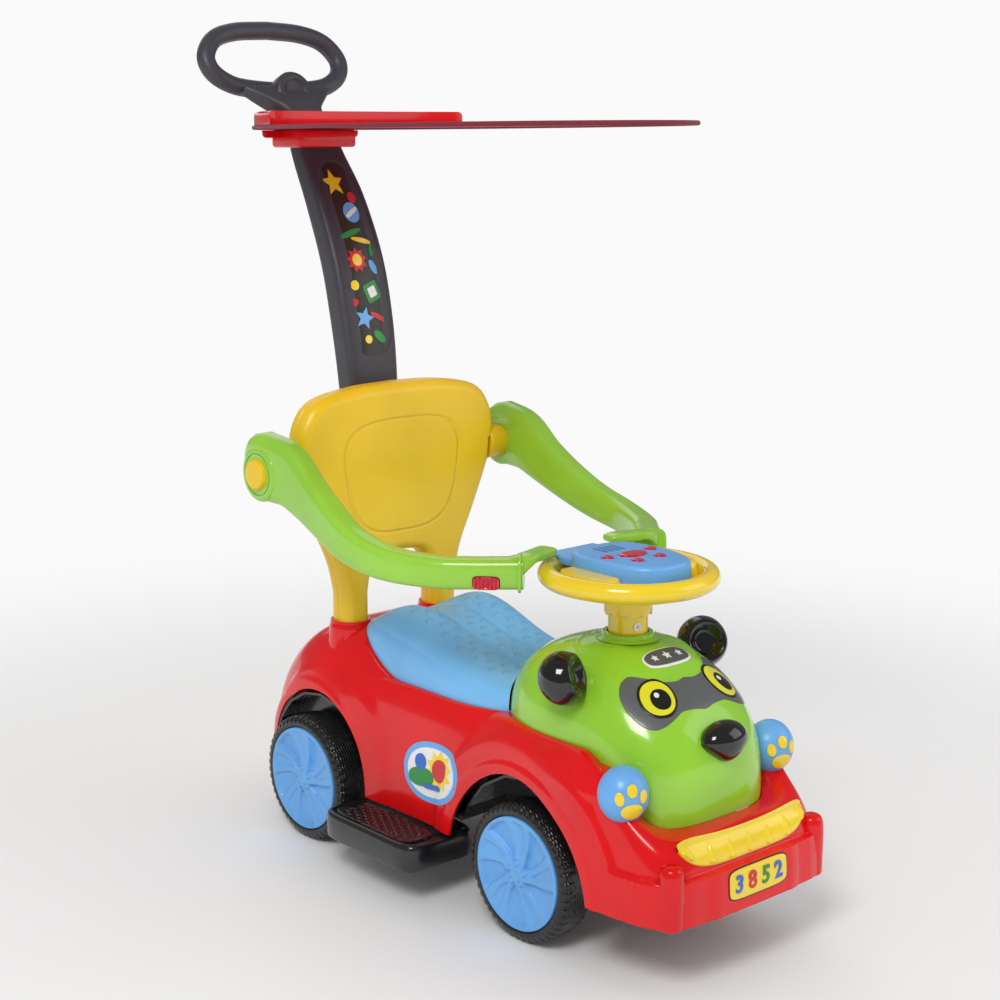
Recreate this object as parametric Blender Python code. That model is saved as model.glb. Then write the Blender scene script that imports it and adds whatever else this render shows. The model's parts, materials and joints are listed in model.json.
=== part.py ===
"""Kids ride-on car with a push handle, guard arms and a canopy, built as separate pieces.

Metres, +Z up. The car faces -Y and its left side is +X. The origin is on the floor, under the
middle of the whole object.
"""
import math

import bmesh
import bpy
import numpy as np
from mathutils import Matrix, Vector

# Shared clearances
touch_gap = 0.0003
running_gap = 0.0012
bore_gap = 0.00025

# Wheels and axles
tyre_radius = 0.071
tyre_width = 0.041
hub_radius = 0.058
wheel_face_x = 0.125
rear_axle_y = 0.1634
wheelbase = 0.360
axle_radius = 0.004
hub_barrel_radius = 0.0115
hubcap_depth = 0.007
push_nut_radius = 0.008
spoke_count = 7
wheel_segments = 20
push_nut_thickness = 0.0022

# Body shell
body_columns_per_half = 20
body_rows = 5
body_front_y = -0.3925
body_tail_y = 0.282
body_middle_y = -0.060
body_half_width = 0.1075
body_tail_widening = 0.0045
bumper_widening = 0.0165
sill_height = 0.073
bumper_height = 0.0725
tail_height = 0.094
body_wall = 0.003
ledge_drop = 0.0065
ledge_width = 0.008
rear_arch_y = 0.158
rear_arch_z = 0.078
rear_arch_radius = 0.093
front_arch_y = -0.190
front_arch_z = 0.055
front_arch_radius = 0.112
arch_flare = 0.0065
arch_flare_reach = 0.034
arch_cut_inner_x = 0.062

# Seat, hood and the seams round them
seat_columns_per_half = 12
seat_rows = 5
hood_columns_per_half = 12
hood_rows = 5
seat_half_width = 0.0830
seat_rear_y = 0.1290
seat_middle_y = 0.0
seat_front_y = -0.150
seam_height = 0.2075
seam_rear_height = 0.250
hood_half_width = 0.0955
hood_middle_y = -0.228
hood_rear_y = -0.097
hood_front_y = -0.357
hood_seam_height = 0.212
hood_front_height = 0.148
hood_top_height = 0.299
hood_wall = 0.003
seat_wall = 0.003
seat_low_height = 0.247
seat_cheek_height = 0.036
seam_gap = 0.0009
seat_ledge_gap = 0.0015
hood_ledge_gap = 0.0040
headlight_gap = 0.0007
face_gap = 0.0005

# Bumper, grille and headlights
bumper_post_x = 0.099
bumper_post_y = -0.3775
bumper_post_radius = 0.012
bumper_post_top = 0.131
bumper_band_height = 0.042
bumper_band_proud = 0.0035
grille_half_width = 0.088
grille_top_height = 0.1475
grille_end_rise = 0.0065
grille_bottom_height = 0.1200
grille_proud = 0.0035
headlight_x = 0.1045
headlight_y = -0.323
headlight_z = 0.1860
headlight_radius = 0.0248
ear_x = 0.0985
ear_y = -0.234
ear_z = hood_top_height - 0.0225
ear_radius = 0.0270
ear_thickness = 0.0200
nose_y = -0.3560
nose_z = 0.2235
nose_half_width = 0.0235
nose_half_height = 0.0185
nose_half_depth = 0.0150

# Chassis tray, storage tub and footboards
tray_floor_z = 0.092
tray_thickness = 0.005
tray_skirt_gap = 0.0008
tray_front_y = -0.345
tray_rear_y = 0.235
well_outer_x = 0.1015
well_inner_x = 0.0500
well_wall = 0.0028
well_reveal = 0.0035
rear_well_inner_x = 0.0770
tub_half_width = 0.062
tub_front_y = -0.083
tub_rear_y = 0.100
tub_top_z = 0.192
tub_wall = 0.0025
footboard_outer_x = 0.163
footboard_inner_x = 0.068
footboard_step_x = 0.1005
footboard_front_y = -0.076
footboard_rear_y = 0.078
footboard_top_z = 0.0695
footboard_bottom_z = 0.0400
footboard_tread_height = 0.0012

# Steering gear
steering_x = 0.0
steering_y = -0.223
kingpin_x = 0.066
kingpin_radius = 0.003
kingpin_head_radius = 0.0065
knuckle_radius = 0.0125
knuckle_bottom_z = 0.0525
crank_length = 0.030
rod_radius = 0.004
link_pin_radius = 0.003
tie_rod_bottom_z = 0.0588
tie_rod_thickness = 0.005
tie_rod_half_width = 0.0042
link_eye_radius = 0.0072
bracket_half_width = 0.013
bracket_bottom_z = 0.0845
wheel_bolt_head_radius = 0.0075

# Steering wheel and console
rim_radius = 0.081
rim_tube_radius = 0.010
rim_plane_z = 0.362
rim_tube_sides = 6
wheel_plate_radius = 0.066
wheel_pad_half_width = 0.024
wheel_pad_top_z = 0.3725
wheel_plate_bottom_z = 0.3470
wheel_plate_thickness = 0.004
hub_skirt_radius = 0.0245
hub_skirt_bottom_z = 0.322
sleeve_radius = 0.0200
sleeve_bottom_z = 0.2998
sleeve_wall = 0.0030
console_base_thickness = 0.0028
console_top_z = 0.3825
console_half_width = 0.048
console_front_y = -0.288
console_rear_y = -0.168
console_wing_half_width = 0.0340
console_wing_rear_y = -0.1370
console_wing_bottom_z = 0.3640
console_wing_top_z = 0.3740
console_wall = 0.0022
button_travel = 0.0015
battery_radius = 0.0052
horn_button_half_length = 0.0165
horn_button_half_depth = 0.0100
horn_button_y = -0.2280
tune_button_radius = 0.0062
tune_button_places = ((-0.030, -0.2230), (0.030, -0.2230), (-0.0155, -0.2500), (0.0155, -0.2500))

# Backrest
backrest_y = 0.150
backrest_thickness = 0.0350
backrest_edge_round = 0.0140
backrest_wall = 0.0030
leg_x = 0.0637
leg_half_width = 0.0175
leg_bottom_z = 0.2180
leg_bore_radius = 0.0198
collar_top_z = 0.2507
collar_bottom_z = 0.2150
collar_wall = 0.0028
backrest_top_z = 0.5145
backrest_half_width = 0.1385
backrest_wide_z = 0.4460
leg_gap_top_z = 0.3220
leg_shoulder_z = 0.2820

# Guard arms and their pivots
guard_pivot_x = 0.1715
guard_pivot_y = 0.150
guard_pivot_z = 0.430
guard_arm_thickness = 0.0285
guard_arm_rear_height = 0.0540
guard_arm_front_height = 0.0310
guard_end_radius = 0.0300
guard_tongue_thickness = 0.0105
guard_tongue_depth = 0.0220
guard_tongue_bottom_z = 0.3745
guard_tongue_end_x = 0.0405
guard_collar_thickness = 0.0026
guard_collar_proud = 0.0032
pivot_boss_radius = 0.0190
pivot_pin_radius = 0.0050
pivot_cap_radius = 0.0165
pivot_cap_height = 0.0090
latch_y = -0.1400
latch_drop = 0.0070
latch_length = 0.0260
latch_height = 0.0130
latch_proud = 0.0022
latch_travel = 0.0030
latch_depth = 0.0080
spring_wire_radius = 0.0005
spring_coil_radius = 0.0024
spring_turns = 5

# Push column and handle
column_socket_top_z = 0.4700
column_socket_wall = 0.0035
column_end_z = 0.4000
column_recess_depth = 0.0016
handle_tube_radius = 0.0105
handle_lean = math.radians(22.0)
handle_centre_y = 0.3615
handle_centre_z = 0.8420
handle_loop_height = 0.0640
handle_dimple_radius = 0.0260

# Canopy
canopy_z = 0.7960
canopy_rear_y = 0.3360
canopy_front_y = -0.2660
canopy_half_width = 0.1550
canopy_power = 2.05
canopy_tilt = math.radians(-1.0)
canopy_tilt_y = 0.300
hoop_radius = 0.0022
fabric_thickness = 0.0016
canopy_cover_cut_y = -0.3950
canopy_cover_cut_radius = 0.560
canopy_upper_thickness = 0.0130
canopy_lower_thickness = 0.0085
canopy_clamp_height = 0.0110
canopy_clamp_margin = 0.0120
neck_gap = 0.0006

front_axle_y = rear_axle_y - wheelbase
axle_z = tyre_radius
wheel_inner_x = wheel_face_x - tyre_width
sides = {"left": 1.0, "right": -1.0}


def clear_scene():
    for scene_object in list(bpy.data.objects):
        bpy.data.objects.remove(scene_object, do_unlink=True)


def make_material(name, colour, roughness, metallic=0.0):
    material = bpy.data.materials.new(name)
    material.use_nodes = True
    shader = material.node_tree.nodes["Principled BSDF"]
    shader.inputs["Base Color"].default_value = (*colour, 1.0)
    shader.inputs["Roughness"].default_value = roughness
    shader.inputs["Metallic"].default_value = metallic
    return material


def add_object(name, mesh, material, smooth_angle=40.0):
    scene_object = bpy.data.objects.new(name, mesh)
    bpy.context.scene.collection.objects.link(scene_object)
    if material is not None:
        mesh.materials.append(material)
    if smooth_angle:
        mesh.shade_smooth()
        mesh.set_sharp_from_angle(angle=math.radians(smooth_angle))
    return scene_object


def finish_mesh(name, bm, material, smooth_angle=40.0, merge=0.00001):
    bmesh.ops.remove_doubles(bm, verts=bm.verts, dist=merge)
    bmesh.ops.dissolve_degenerate(bm, edges=bm.edges, dist=merge)
    bmesh.ops.recalc_face_normals(bm, faces=bm.faces)
    mesh = bpy.data.meshes.new(name)
    bm.to_mesh(mesh)
    bm.free()
    return add_object(name, mesh, material, smooth_angle)


def set_origin(scene_object, point):
    """Moves the object's origin to a joint axis without moving its shape."""
    point = Vector(point)
    scene_object.data.transform(Matrix.Translation(-point))
    scene_object.location = point
    return scene_object


def as_cutter(scene_object):
    scene_object.hide_render = True
    scene_object.display_type = "WIRE"
    return scene_object


def add_boolean(scene_object, other, operation):
    modifier = scene_object.modifiers.new(operation.lower(), "BOOLEAN")
    modifier.operation = operation
    modifier.object = other
    modifier.solver = "EXACT"
    return as_cutter(other)


def cut(scene_object, *cutters):
    for cutter in cutters:
        add_boolean(scene_object, cutter, "DIFFERENCE")


def join(scene_object, *others):
    for other in others:
        add_boolean(scene_object, other, "UNION")


def keep_inside(scene_object, other):
    add_boolean(scene_object, other, "INTERSECT")


def add_bevel(scene_object, width, segments=2, angle=35.0):
    modifier = scene_object.modifiers.new("rounded_edges", "BEVEL")
    modifier.width = width
    modifier.segments = segments
    modifier.limit_method = "ANGLE"
    modifier.angle_limit = math.radians(angle)
    return modifier


def box(name, low, high, material=None, bevel=0.0, segments=2):
    bm = bmesh.new()
    bmesh.ops.create_cube(bm, size=1.0)
    low = Vector(low)
    high = Vector(high)
    size = high - low
    bmesh.ops.scale(bm, vec=size, verts=bm.verts)
    bmesh.ops.translate(bm, vec=(low + high) / 2, verts=bm.verts)
    scene_object = finish_mesh(name, bm, material)
    if bevel:
        add_bevel(scene_object, bevel, segments)
    return scene_object


def axis_matrix(direction, point):
    """Turns local +Z to the direction and moves the local origin to the point."""
    direction = Vector(direction).normalized()
    return Matrix.Translation(Vector(point)) @ direction.to_track_quat("Z", "Y").to_matrix().to_4x4()


def rod(name, start, end, radius, material=None, segments=16, end_radius=None):
    start = Vector(start)
    end = Vector(end)
    bm = bmesh.new()
    bmesh.ops.create_cone(bm, cap_ends=True, segments=segments, radius1=radius,
                          radius2=radius if end_radius is None else end_radius,
                          depth=(end - start).length)
    bmesh.ops.transform(bm, matrix=axis_matrix(end - start, (start + end) / 2), verts=bm.verts)
    return finish_mesh(name, bm, material)


def turned(name, profile, matrix, material=None, segments=24, smooth_angle=40.0):
    """Spins a closed outline of (radius, height) points about local Z."""
    bm = bmesh.new()
    verts = [bm.verts.new((radius, 0.0, height)) for radius, height in profile]
    edges = [bm.edges.new((verts[i - 1], verts[i])) for i in range(len(verts))
             if verts[i - 1].co.x > 1e-7 or verts[i].co.x > 1e-7]
    bmesh.ops.spin(bm, geom=verts + edges, cent=(0, 0, 0), axis=(0, 0, 1), angle=2 * math.pi,
                   steps=segments, use_merge=True)
    loose = [vert for vert in bm.verts if not vert.link_faces]
    bmesh.ops.delete(bm, geom=loose, context="VERTS")
    bmesh.ops.transform(bm, matrix=matrix, verts=bm.verts)
    return finish_mesh(name, bm, material, smooth_angle)


def bridge_rings(bm, rings, closed=False, capped=True, split=False):
    """Joins rings of equal count into a skin; open skins get flat ends.

    With split, each quad becomes two triangles, the same way on both sides of the car, so that
    two skins from the same rings meet evenly.
    """
    loops = [[bm.verts.new(point) for point in ring] for ring in rings]
    count = len(loops[0])
    pairs = list(zip(loops, loops[1:]))
    if closed:
        pairs.append((loops[-1], loops[0]))
    for first, second in pairs:
        for i in range(count):
            following = (i + 1) % count
            corners = (first[i], first[following], second[following], second[i])
            if not split:
                bm.faces.new(corners)
            elif i < count // 2:
                bm.faces.new(corners[:3])
                bm.faces.new((corners[0], corners[2], corners[3]))
            else:
                bm.faces.new((corners[0], corners[1], corners[3]))
                bm.faces.new(corners[1:])
    if capped and not closed:
        bm.faces.new(loops[0][::-1])
        bm.faces.new(loops[-1])
    return loops


def lofted(name, rings, material=None, closed=False, smooth_angle=40.0, split=False):
    bm = bmesh.new()
    bridge_rings(bm, rings, closed, split=split)
    return finish_mesh(name, bm, material, smooth_angle)


def ellipsoid(name, centre, radii, material=None, segments=16, rings=10, turn=None):
    bm = bmesh.new()
    bmesh.ops.create_uvsphere(bm, u_segments=segments, v_segments=rings, radius=1.0)
    matrix = Matrix.Translation(Vector(centre)) @ (turn or Matrix.Identity(4)) @ Matrix.Diagonal((*radii,
                                                                                                  1.0))
    bmesh.ops.transform(bm, matrix=matrix, verts=bm.verts)
    return finish_mesh(name, bm, material, 60.0)


def smooth_path(points, per_span=6):
    """Catmull-Rom curve through the points."""
    points = [np.array(point, float) for point in points]
    padded = [2 * points[0] - points[1]] + points + [2 * points[-1] - points[-2]]
    path = []
    for i in range(1, len(padded) - 2):
        before, start, end, after = padded[i - 1:i + 3]
        for step in range(per_span):
            t = step / per_span
            path.append(0.5 * (2 * start + (end - before) * t
                               + (2 * before - 5 * start + 4 * end - after) * t ** 2
                               + (3 * start - before - 3 * end + after) * t ** 3))
    path.append(points[-1])
    return path


def smooth_step(value, low, high):
    t = min(max((value - low) / (high - low), 0.0), 1.0)
    return t * t * (3 - 2 * t)


def resampled(points, count):
    """The same polyline with count + 1 points at equal spacing."""
    points = np.array(points, float)
    lengths = np.r_[0, np.cumsum(np.linalg.norm(np.diff(points, axis=0), axis=1))]
    places = np.linspace(0, lengths[-1], count + 1)
    return np.column_stack([np.interp(places, lengths,
                                      points[:, axis]) for axis in range(points.shape[1])])


def end_width(y, middle, end, power, width):
    """Half width of a rounded end that closes at y = end."""
    t = min(abs((y - middle) / (end - middle)), 1.0)
    return width * (1 - t ** power) ** (1 / power)


def half_outline(width_at, rear_y, front_y, count):
    """Half of a plan outline from the rear centre to the front centre, on the +X side."""
    middle = (rear_y + front_y) / 2
    half = (rear_y - front_y) / 2
    places = [middle + half * math.cos(angle) for angle in np.linspace(0, math.pi, 721)]
    return resampled([(width_at(y), y) for y in places], count)


def body_width(y):
    if y > body_middle_y:
        width = body_half_width + body_tail_widening * smooth_step(y, 0.03, 0.16)
        return end_width(y, body_middle_y, body_tail_y, 5.0, width)
    width = body_half_width + bumper_widening * smooth_step(-y, 0.10, 0.33)
    return end_width(y, body_middle_y, body_front_y, 9.0, width)


def seat_width(y):
    if y > seat_rear_y or y < seat_front_y:
        return 0.0
    end = seat_rear_y if y > seat_middle_y else seat_front_y
    return end_width(y, seat_middle_y, end, 4.6, seat_half_width)


def hood_width(y):
    if y > hood_rear_y or y < hood_front_y:
        return 0.0
    end = hood_rear_y if y > hood_middle_y else hood_front_y
    power = 2.5 if y > hood_middle_y else 3.6
    return end_width(y, hood_middle_y, end, power, hood_half_width)


def deck_width(y):
    return max(seat_width(y), hood_width(y))


def seam_z(y):
    """Height of the seam between the body and what sits in its opening."""
    rear = (seam_rear_height - seam_height) * smooth_step(y, 0.035, 0.140)
    middle = (hood_seam_height - seam_height) * smooth_step(-y, 0.05, 0.16)
    front = (hood_front_height - hood_seam_height) * smooth_step(-y, 0.262, 0.352)
    return seam_height + rear + middle + front


def body_bottom_z(y):
    tail = (tail_height - sill_height) * smooth_step(y, 0.20, 0.27)
    front = (bumper_height - sill_height) * smooth_step(-y, 0.20, 0.33)
    return sill_height + tail + front


def flare(y, z):
    """How far the skin stands out round the wheel arches."""
    proud = 0.0
    for arch_y, arch_z, radius in ((rear_arch_y, rear_arch_z, rear_arch_radius),
                                   (front_arch_y, front_arch_z, front_arch_radius)):
        distance = math.hypot(y - arch_y, z - arch_z) - radius
        if distance < arch_flare_reach:
            proud = max(proud, arch_flare * (1 - max(distance, 0.0) / arch_flare_reach) ** 1.3)
    return proud


def body_columns(count, rows, outset=0.0):
    """Outer skin of half the body: one column of points per outline place, bottom to seam."""
    bottom = half_outline(body_width, body_tail_y, body_front_y, count)
    top = half_outline(deck_width, seat_rear_y, hood_front_y, count)
    columns = []
    for (bottom_x, bottom_y), (top_x, top_y) in zip(bottom, top):
        low = body_bottom_z(bottom_y)
        high = seam_z(top_y)
        outward = Vector((bottom_x - top_x, bottom_y - top_y))
        reach = outward.length
        outward.normalize()
        nose = smooth_step(-bottom_y, 0.24, 0.37)
        tail = smooth_step(bottom_y, 0.10, 0.26)
        side_power = 0.80 - 0.38 * nose + 0.15 * tail
        rise_power = 1.0 - 0.10 * nose
        column = []
        for row in range(rows + 1):
            angle = row / rows * math.pi / 2
            share = math.cos(angle) ** side_power if row < rows else 0.0
            z = low + (high - low) * math.sin(angle) ** rise_power
            y = top_y + outward.y * reach * share
            band = smooth_step(-bottom_y, 0.285,
                               0.300) * (1 - smooth_step(z - low, bumper_band_height - 0.004,
                                                                           bumper_band_height + 0.006))
            bulge = max(flare(y, z), bumper_band_proud * band) * min(1.0, share * 4)
            distance = reach * share + bulge + outset
            column.append(Vector((top_x + outward.x * distance, top_y + outward.y * distance,
                                  z + outset * math.sin(angle) ** 2)))
        columns.append((column, outward))
    return columns


def mirrored_rings(half_columns):
    """Turns half columns into whole rings, one per row."""
    right = [[Vector((-point.x, point.y,
                      point.z)) for point in column] for column in half_columns[-2:0:-1]]
    columns = half_columns + right
    return [[column[row] for column in columns] for row in range(len(columns[0]))]


def body_solid(name, outset):
    """The body's outer skin closed top and bottom, to cut or trim other pieces with."""
    columns = [column for column, outward in body_columns(body_columns_per_half, body_rows, outset)]
    rings = mirrored_rings(columns)
    lowest = [Vector((point.x, point.y, 0.030)) for point in rings[0]]
    return lofted(name, [lowest] + rings, split=True)


def hood_rings(count, rows, inset):
    """Dome from its rim at the seam to the flat ring under the steering sleeve."""
    outline = half_outline(hood_width, hood_rear_y, hood_front_y, count)
    centre = Vector((steering_x, steering_y))
    columns = []
    for outline_x, outline_y in outline:
        rim = Vector((outline_x, outline_y))
        inward = (centre - rim).normalized()
        low = seam_z(outline_y)
        column = []
        for row in range(rows + 1):
            angle = row / rows * math.pi / 2 * 0.955
            share = math.cos(angle) ** (0.70 - 0.17 * smooth_step(-outline_y, 0.25, 0.34))
            rise = math.sin(angle)
            place = centre + (rim - centre) * share + inward * inset
            z = low + (hood_top_height - low - inset) * rise
            toward = Vector((place.x, place.y + 0.335, z - 0.205))
            snout = math.exp(-(toward.x / 0.055) ** 2 - (toward.z / 0.034) ** 2 - (toward.y / 0.050) ** 2)
            y = place.y - 0.008 * snout
            column.append(Vector((place.x, y, z)))
        columns.append(column)
    return mirrored_rings(columns)


def hood_solid(name, outset):
    rings = hood_rings(hood_columns_per_half, hood_rows, -outset)
    lowest = [Vector((point.x, point.y, point.z - 0.05)) for point in rings[0]]
    return lofted(name, [lowest] + rings, split=True)


def build_body(material):
    columns = []
    for column, outward in body_columns(body_columns_per_half, body_rows):
        seam = column[-1]
        step = Vector((seam.x, seam.y, seam.z - ledge_drop))
        ledge = step - Vector((outward.x, outward.y, 0.0)) * ledge_width
        ledge.z = seam_z(ledge.y) - ledge_drop
        if seam.x < 1e-9:
            ledge.x = 0.0
        columns.append(column + [step, ledge])
    rings = mirrored_rings(columns)
    bm = bmesh.new()
    bridge_rings(bm, rings, capped=False, split=True)
    bmesh.ops.recalc_face_normals(bm, faces=bm.faces)
    front = min(bm.faces, key=lambda face: face.calc_center_median().y)
    if front.normal.y > 0:
        bmesh.ops.reverse_faces(bm, faces=bm.faces)
    mesh = bpy.data.meshes.new("body_shell")
    bm.to_mesh(mesh)
    bm.free()
    body = add_object("body_shell", mesh, material, 50.0)
    wall = body.modifiers.new("wall", "SOLIDIFY")
    wall.thickness = body_wall
    wall.offset = -1.0
    wall.use_even_offset = True
    for arch_y, arch_z, radius in ((rear_arch_y, rear_arch_z, rear_arch_radius),
                                   (front_arch_y, front_arch_z, front_arch_radius)):
        for side, sign in sides.items():
            cut(body, rod("arch_cut", (sign * arch_cut_inner_x, arch_y, arch_z),
                          (sign * 0.20, arch_y, arch_z), radius, segments=32))
    inner_radius = leg_bore_radius
    for side, sign in sides.items():
        place = (sign * leg_x, backrest_y)
        join(body, rod("collar", (*place, collar_bottom_z), (*place, collar_top_z),
                       inner_radius + collar_wall, segments=18))
    for side, sign in sides.items():
        place = (sign * leg_x, backrest_y)
        cut(body, rod("leg_bore", (*place, collar_bottom_z - 0.02), (*place, collar_top_z + 0.02),
                      inner_radius, segments=18))
    for side, sign in sides.items():
        post = bumper_post(sign)
        join(body, post)
    return body


def bumper_post(sign):
    rings = []
    centre = Vector((sign * bumper_post_x, bumper_post_y, 0.0))
    levels = [(bumper_height - 0.002, 1.05), (bumper_height + 0.006, 1.0),
              (bumper_post_top - 0.010, 0.92),
              (bumper_post_top - 0.003, 0.70), (bumper_post_top, 0.30)]
    for z, share in levels:
        ring = []
        for step in range(16):
            angle = 2 * math.pi * step / 16
            radius = bumper_post_radius * share
            ring.append(Vector((centre.x + radius * math.cos(angle), centre.y + radius * math.sin(angle),
                                z)))
        rings.append(ring)
    return lofted("bumper_post", rings)


def deck_room(name):
    """Upright prism just inside the body's opening."""
    half = [column[-1] for column, outward in body_columns(body_columns_per_half, body_rows)]
    outline = [Vector((point.x, point.y)) for point in half]
    outline += [Vector((-point.x, point.y)) for point in half[-2:0:-1]]
    outline = inset_outline(outline, seam_gap)
    return lofted(name, [[Vector((point.x, point.y, z)) for point in outline] for z in (0.10, 0.40)])


def build_hood(material):
    outer = hood_rings(hood_columns_per_half, hood_rows, seam_gap)
    inner = hood_rings(hood_columns_per_half, hood_rows, seam_gap + hood_wall)
    floor = [Vector((point.x, point.y, point.z - ledge_drop + hood_ledge_gap)) for point in outer[0]]
    inner_floor = [Vector((point.x, point.y,
                           point.z - ledge_drop + hood_ledge_gap)) for point in inner[0]]
    hood = lofted("hood_head", inner[::-1] + [inner_floor, floor] + outer, material, smooth_angle=60.0,
                  split=True)
    join(hood, turned("sleeve_collar", [(sleeve_radius + running_gap, hood_top_height - 0.008),
                                        (0.036, hood_top_height - 0.008),
                                        (0.033, hood_top_height + 0.0015),
                                        (0.030, hood_top_height + 0.0045),
                                        (0.026, hood_top_height + 0.0055),
                                        (sleeve_radius + running_gap, hood_top_height + 0.0045)],
                      Matrix.Translation((steering_x, steering_y, 0.0)), None, 20))
    keep_inside(hood, deck_room("hood_room"))
    cut(hood, rod("rod_bore", (steering_x, steering_y, 0.25), (steering_x, steering_y, 0.33),
                  rod_radius + 2 * bore_gap, segments=20))
    return hood


def seat_height(x, y):
    """Saddle: raised cheeks at the rear, two grooves, a waist towards the hood."""
    rear = seat_cheek_height * math.exp(-((y - 0.050) / 0.072) ** 2)
    spread = 0.66 + 0.34 * smooth_step(abs(x), 0.012, 0.050)
    groove = 0.0022 * math.exp(-((abs(x) - 0.020) / 0.0045) ** 2)
    return seat_low_height + rear * spread - groove - 0.006 * smooth_step(-y, 0.04, 0.11)


def seat_rings(count, rows, inset):
    outline = half_outline(seat_width, seat_rear_y, seat_front_y, count)
    centre = Vector((0.0, 0.005))
    columns = []
    for outline_x, outline_y in outline:
        rim = Vector((outline_x, outline_y))
        low = seam_z(outline_y)
        column = []
        for row in range(rows + 1):
            share = 1.0 - (row / rows) ** 1.6
            share = max(share, 0.06)
            scale = max(1.0 - inset / max((rim - centre).length, 0.01), 0.0)
            place = centre + (rim - centre) * share * scale
            dome = (1 - share ** 5.0) ** 0.42
            top = seat_height(place.x, place.y) - inset + seam_gap
            column.append(Vector((place.x, place.y, low + (max(top, low + 0.004) - low) * dome)))
        columns.append(column)
    return mirrored_rings(columns)


def build_seat(material):
    outer = seat_rings(seat_columns_per_half, seat_rows, seam_gap)
    inner = seat_rings(seat_columns_per_half, seat_rows, seam_gap + seat_wall)
    floor = [Vector((point.x, point.y, point.z - ledge_drop + seat_ledge_gap)) for point in outer[0]]
    inner_floor = [Vector((point.x, point.y,
                           point.z - ledge_drop + seat_ledge_gap)) for point in inner[0]]
    seat = lofted("seat_lid", inner[::-1] + [inner_floor, floor] + outer, material, smooth_angle=60.0)
    keep_inside(seat, deck_room("seat_room"))
    cut(seat, hood_solid("hood_outline", running_gap))
    return seat


def build_face(black, blue, yellow):
    for side, sign in sides.items():
        turn = Matrix.Rotation(sign * math.radians(-28), 4, "Z") @ Matrix.Rotation(math.radians(-18), 4,
                                                                                   "X")
        centre = (sign * ear_x, ear_y, ear_z)
        ear = ellipsoid("ear_" + side, centre, (ear_radius, ear_thickness, ear_radius), black, 14, 8,
                        turn)
        hollow = ellipsoid("ear_hollow",
                           Vector(centre) + turn @ Vector((0, -ear_thickness * 0.95, -0.003)),
                           (ear_radius * 0.68, ear_thickness * 0.55, ear_radius * 0.68), None, 12, 6,
                           turn)
        cut(ear, hollow, hood_solid("ear_seat", face_gap - seam_gap))
        headlight = ellipsoid("headlight_" + side, (sign * headlight_x, headlight_y, headlight_z),
                              (headlight_radius, headlight_radius * 0.97, headlight_radius * 1.10), blue,
                              12, 8)
        cut(headlight, hood_solid("headlight_hood_seat", headlight_gap),
            body_solid("headlight_body_seat", headlight_gap))
    nose = ellipsoid("nose", (0.0, nose_y, nose_z), (nose_half_width, nose_half_depth, nose_half_height),
                     black, 16, 8, Matrix.Rotation(math.radians(-12), 4, "X"))
    cut(nose, hood_solid("nose_seat", face_gap - seam_gap))
    steps = 16
    outline = []
    for step in range(steps + 1):
        share = 1 - 2 * step / steps
        outline.append((grille_half_width * share, grille_top_height + grille_end_rise * share ** 2))
    for step in range(steps + 1):
        share = -1 + 2 * step / steps
        rise = grille_top_height + grille_end_rise - 0.004 - grille_bottom_height
        outline.append((grille_half_width * share, grille_bottom_height + rise * share ** 4))
    rings = [[Vector((x, y, z)) for x, z in outline] for y in (-0.42, -0.33)]
    grille = lofted("grille", rings, yellow)
    keep_inside(grille, body_solid("grille_front", grille_proud))
    cut(grille, body_solid("grille_seat", 2 * touch_gap), hood_solid("grille_hood_seat", seam_gap))


def well_solid(name, sign, arch, outset, outer_x):
    """The space of one wheel well, or of its wall when it is grown outwards."""
    arch_y, arch_z, arch_radius, inner_x = arch
    radius = arch_radius - well_reveal - well_wall + outset
    return rod(name, (sign * (inner_x + well_wall - outset), arch_y, arch_z),
               (sign * outer_x, arch_y, arch_z),
               radius, segments=18)


def tray_slab(material):
    """Flat floor that fills the body from wall to wall."""
    middle_z = tray_floor_z + tray_thickness / 2
    half = []
    for column, outward in body_columns(body_columns_per_half, body_rows):
        heights = [point.z for point in column]
        half.append(Vector([float(np.interp(middle_z, heights, [point[axis] for point in column]))
                            for axis in range(2)]))
    outline = half + [Vector((-point.x, point.y)) for point in half[-2:0:-1]]
    inner = inset_outline(outline, body_wall + tray_skirt_gap)
    outline = [(point.x, point.y) for point in inner if tray_front_y < point.y < tray_rear_y]
    rings = [[Vector((x, y, z)) for x, y in outline] for z in (tray_floor_z,
                                                               tray_floor_z + tray_thickness)]
    return lofted("chassis_tray", rings, material)


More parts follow.
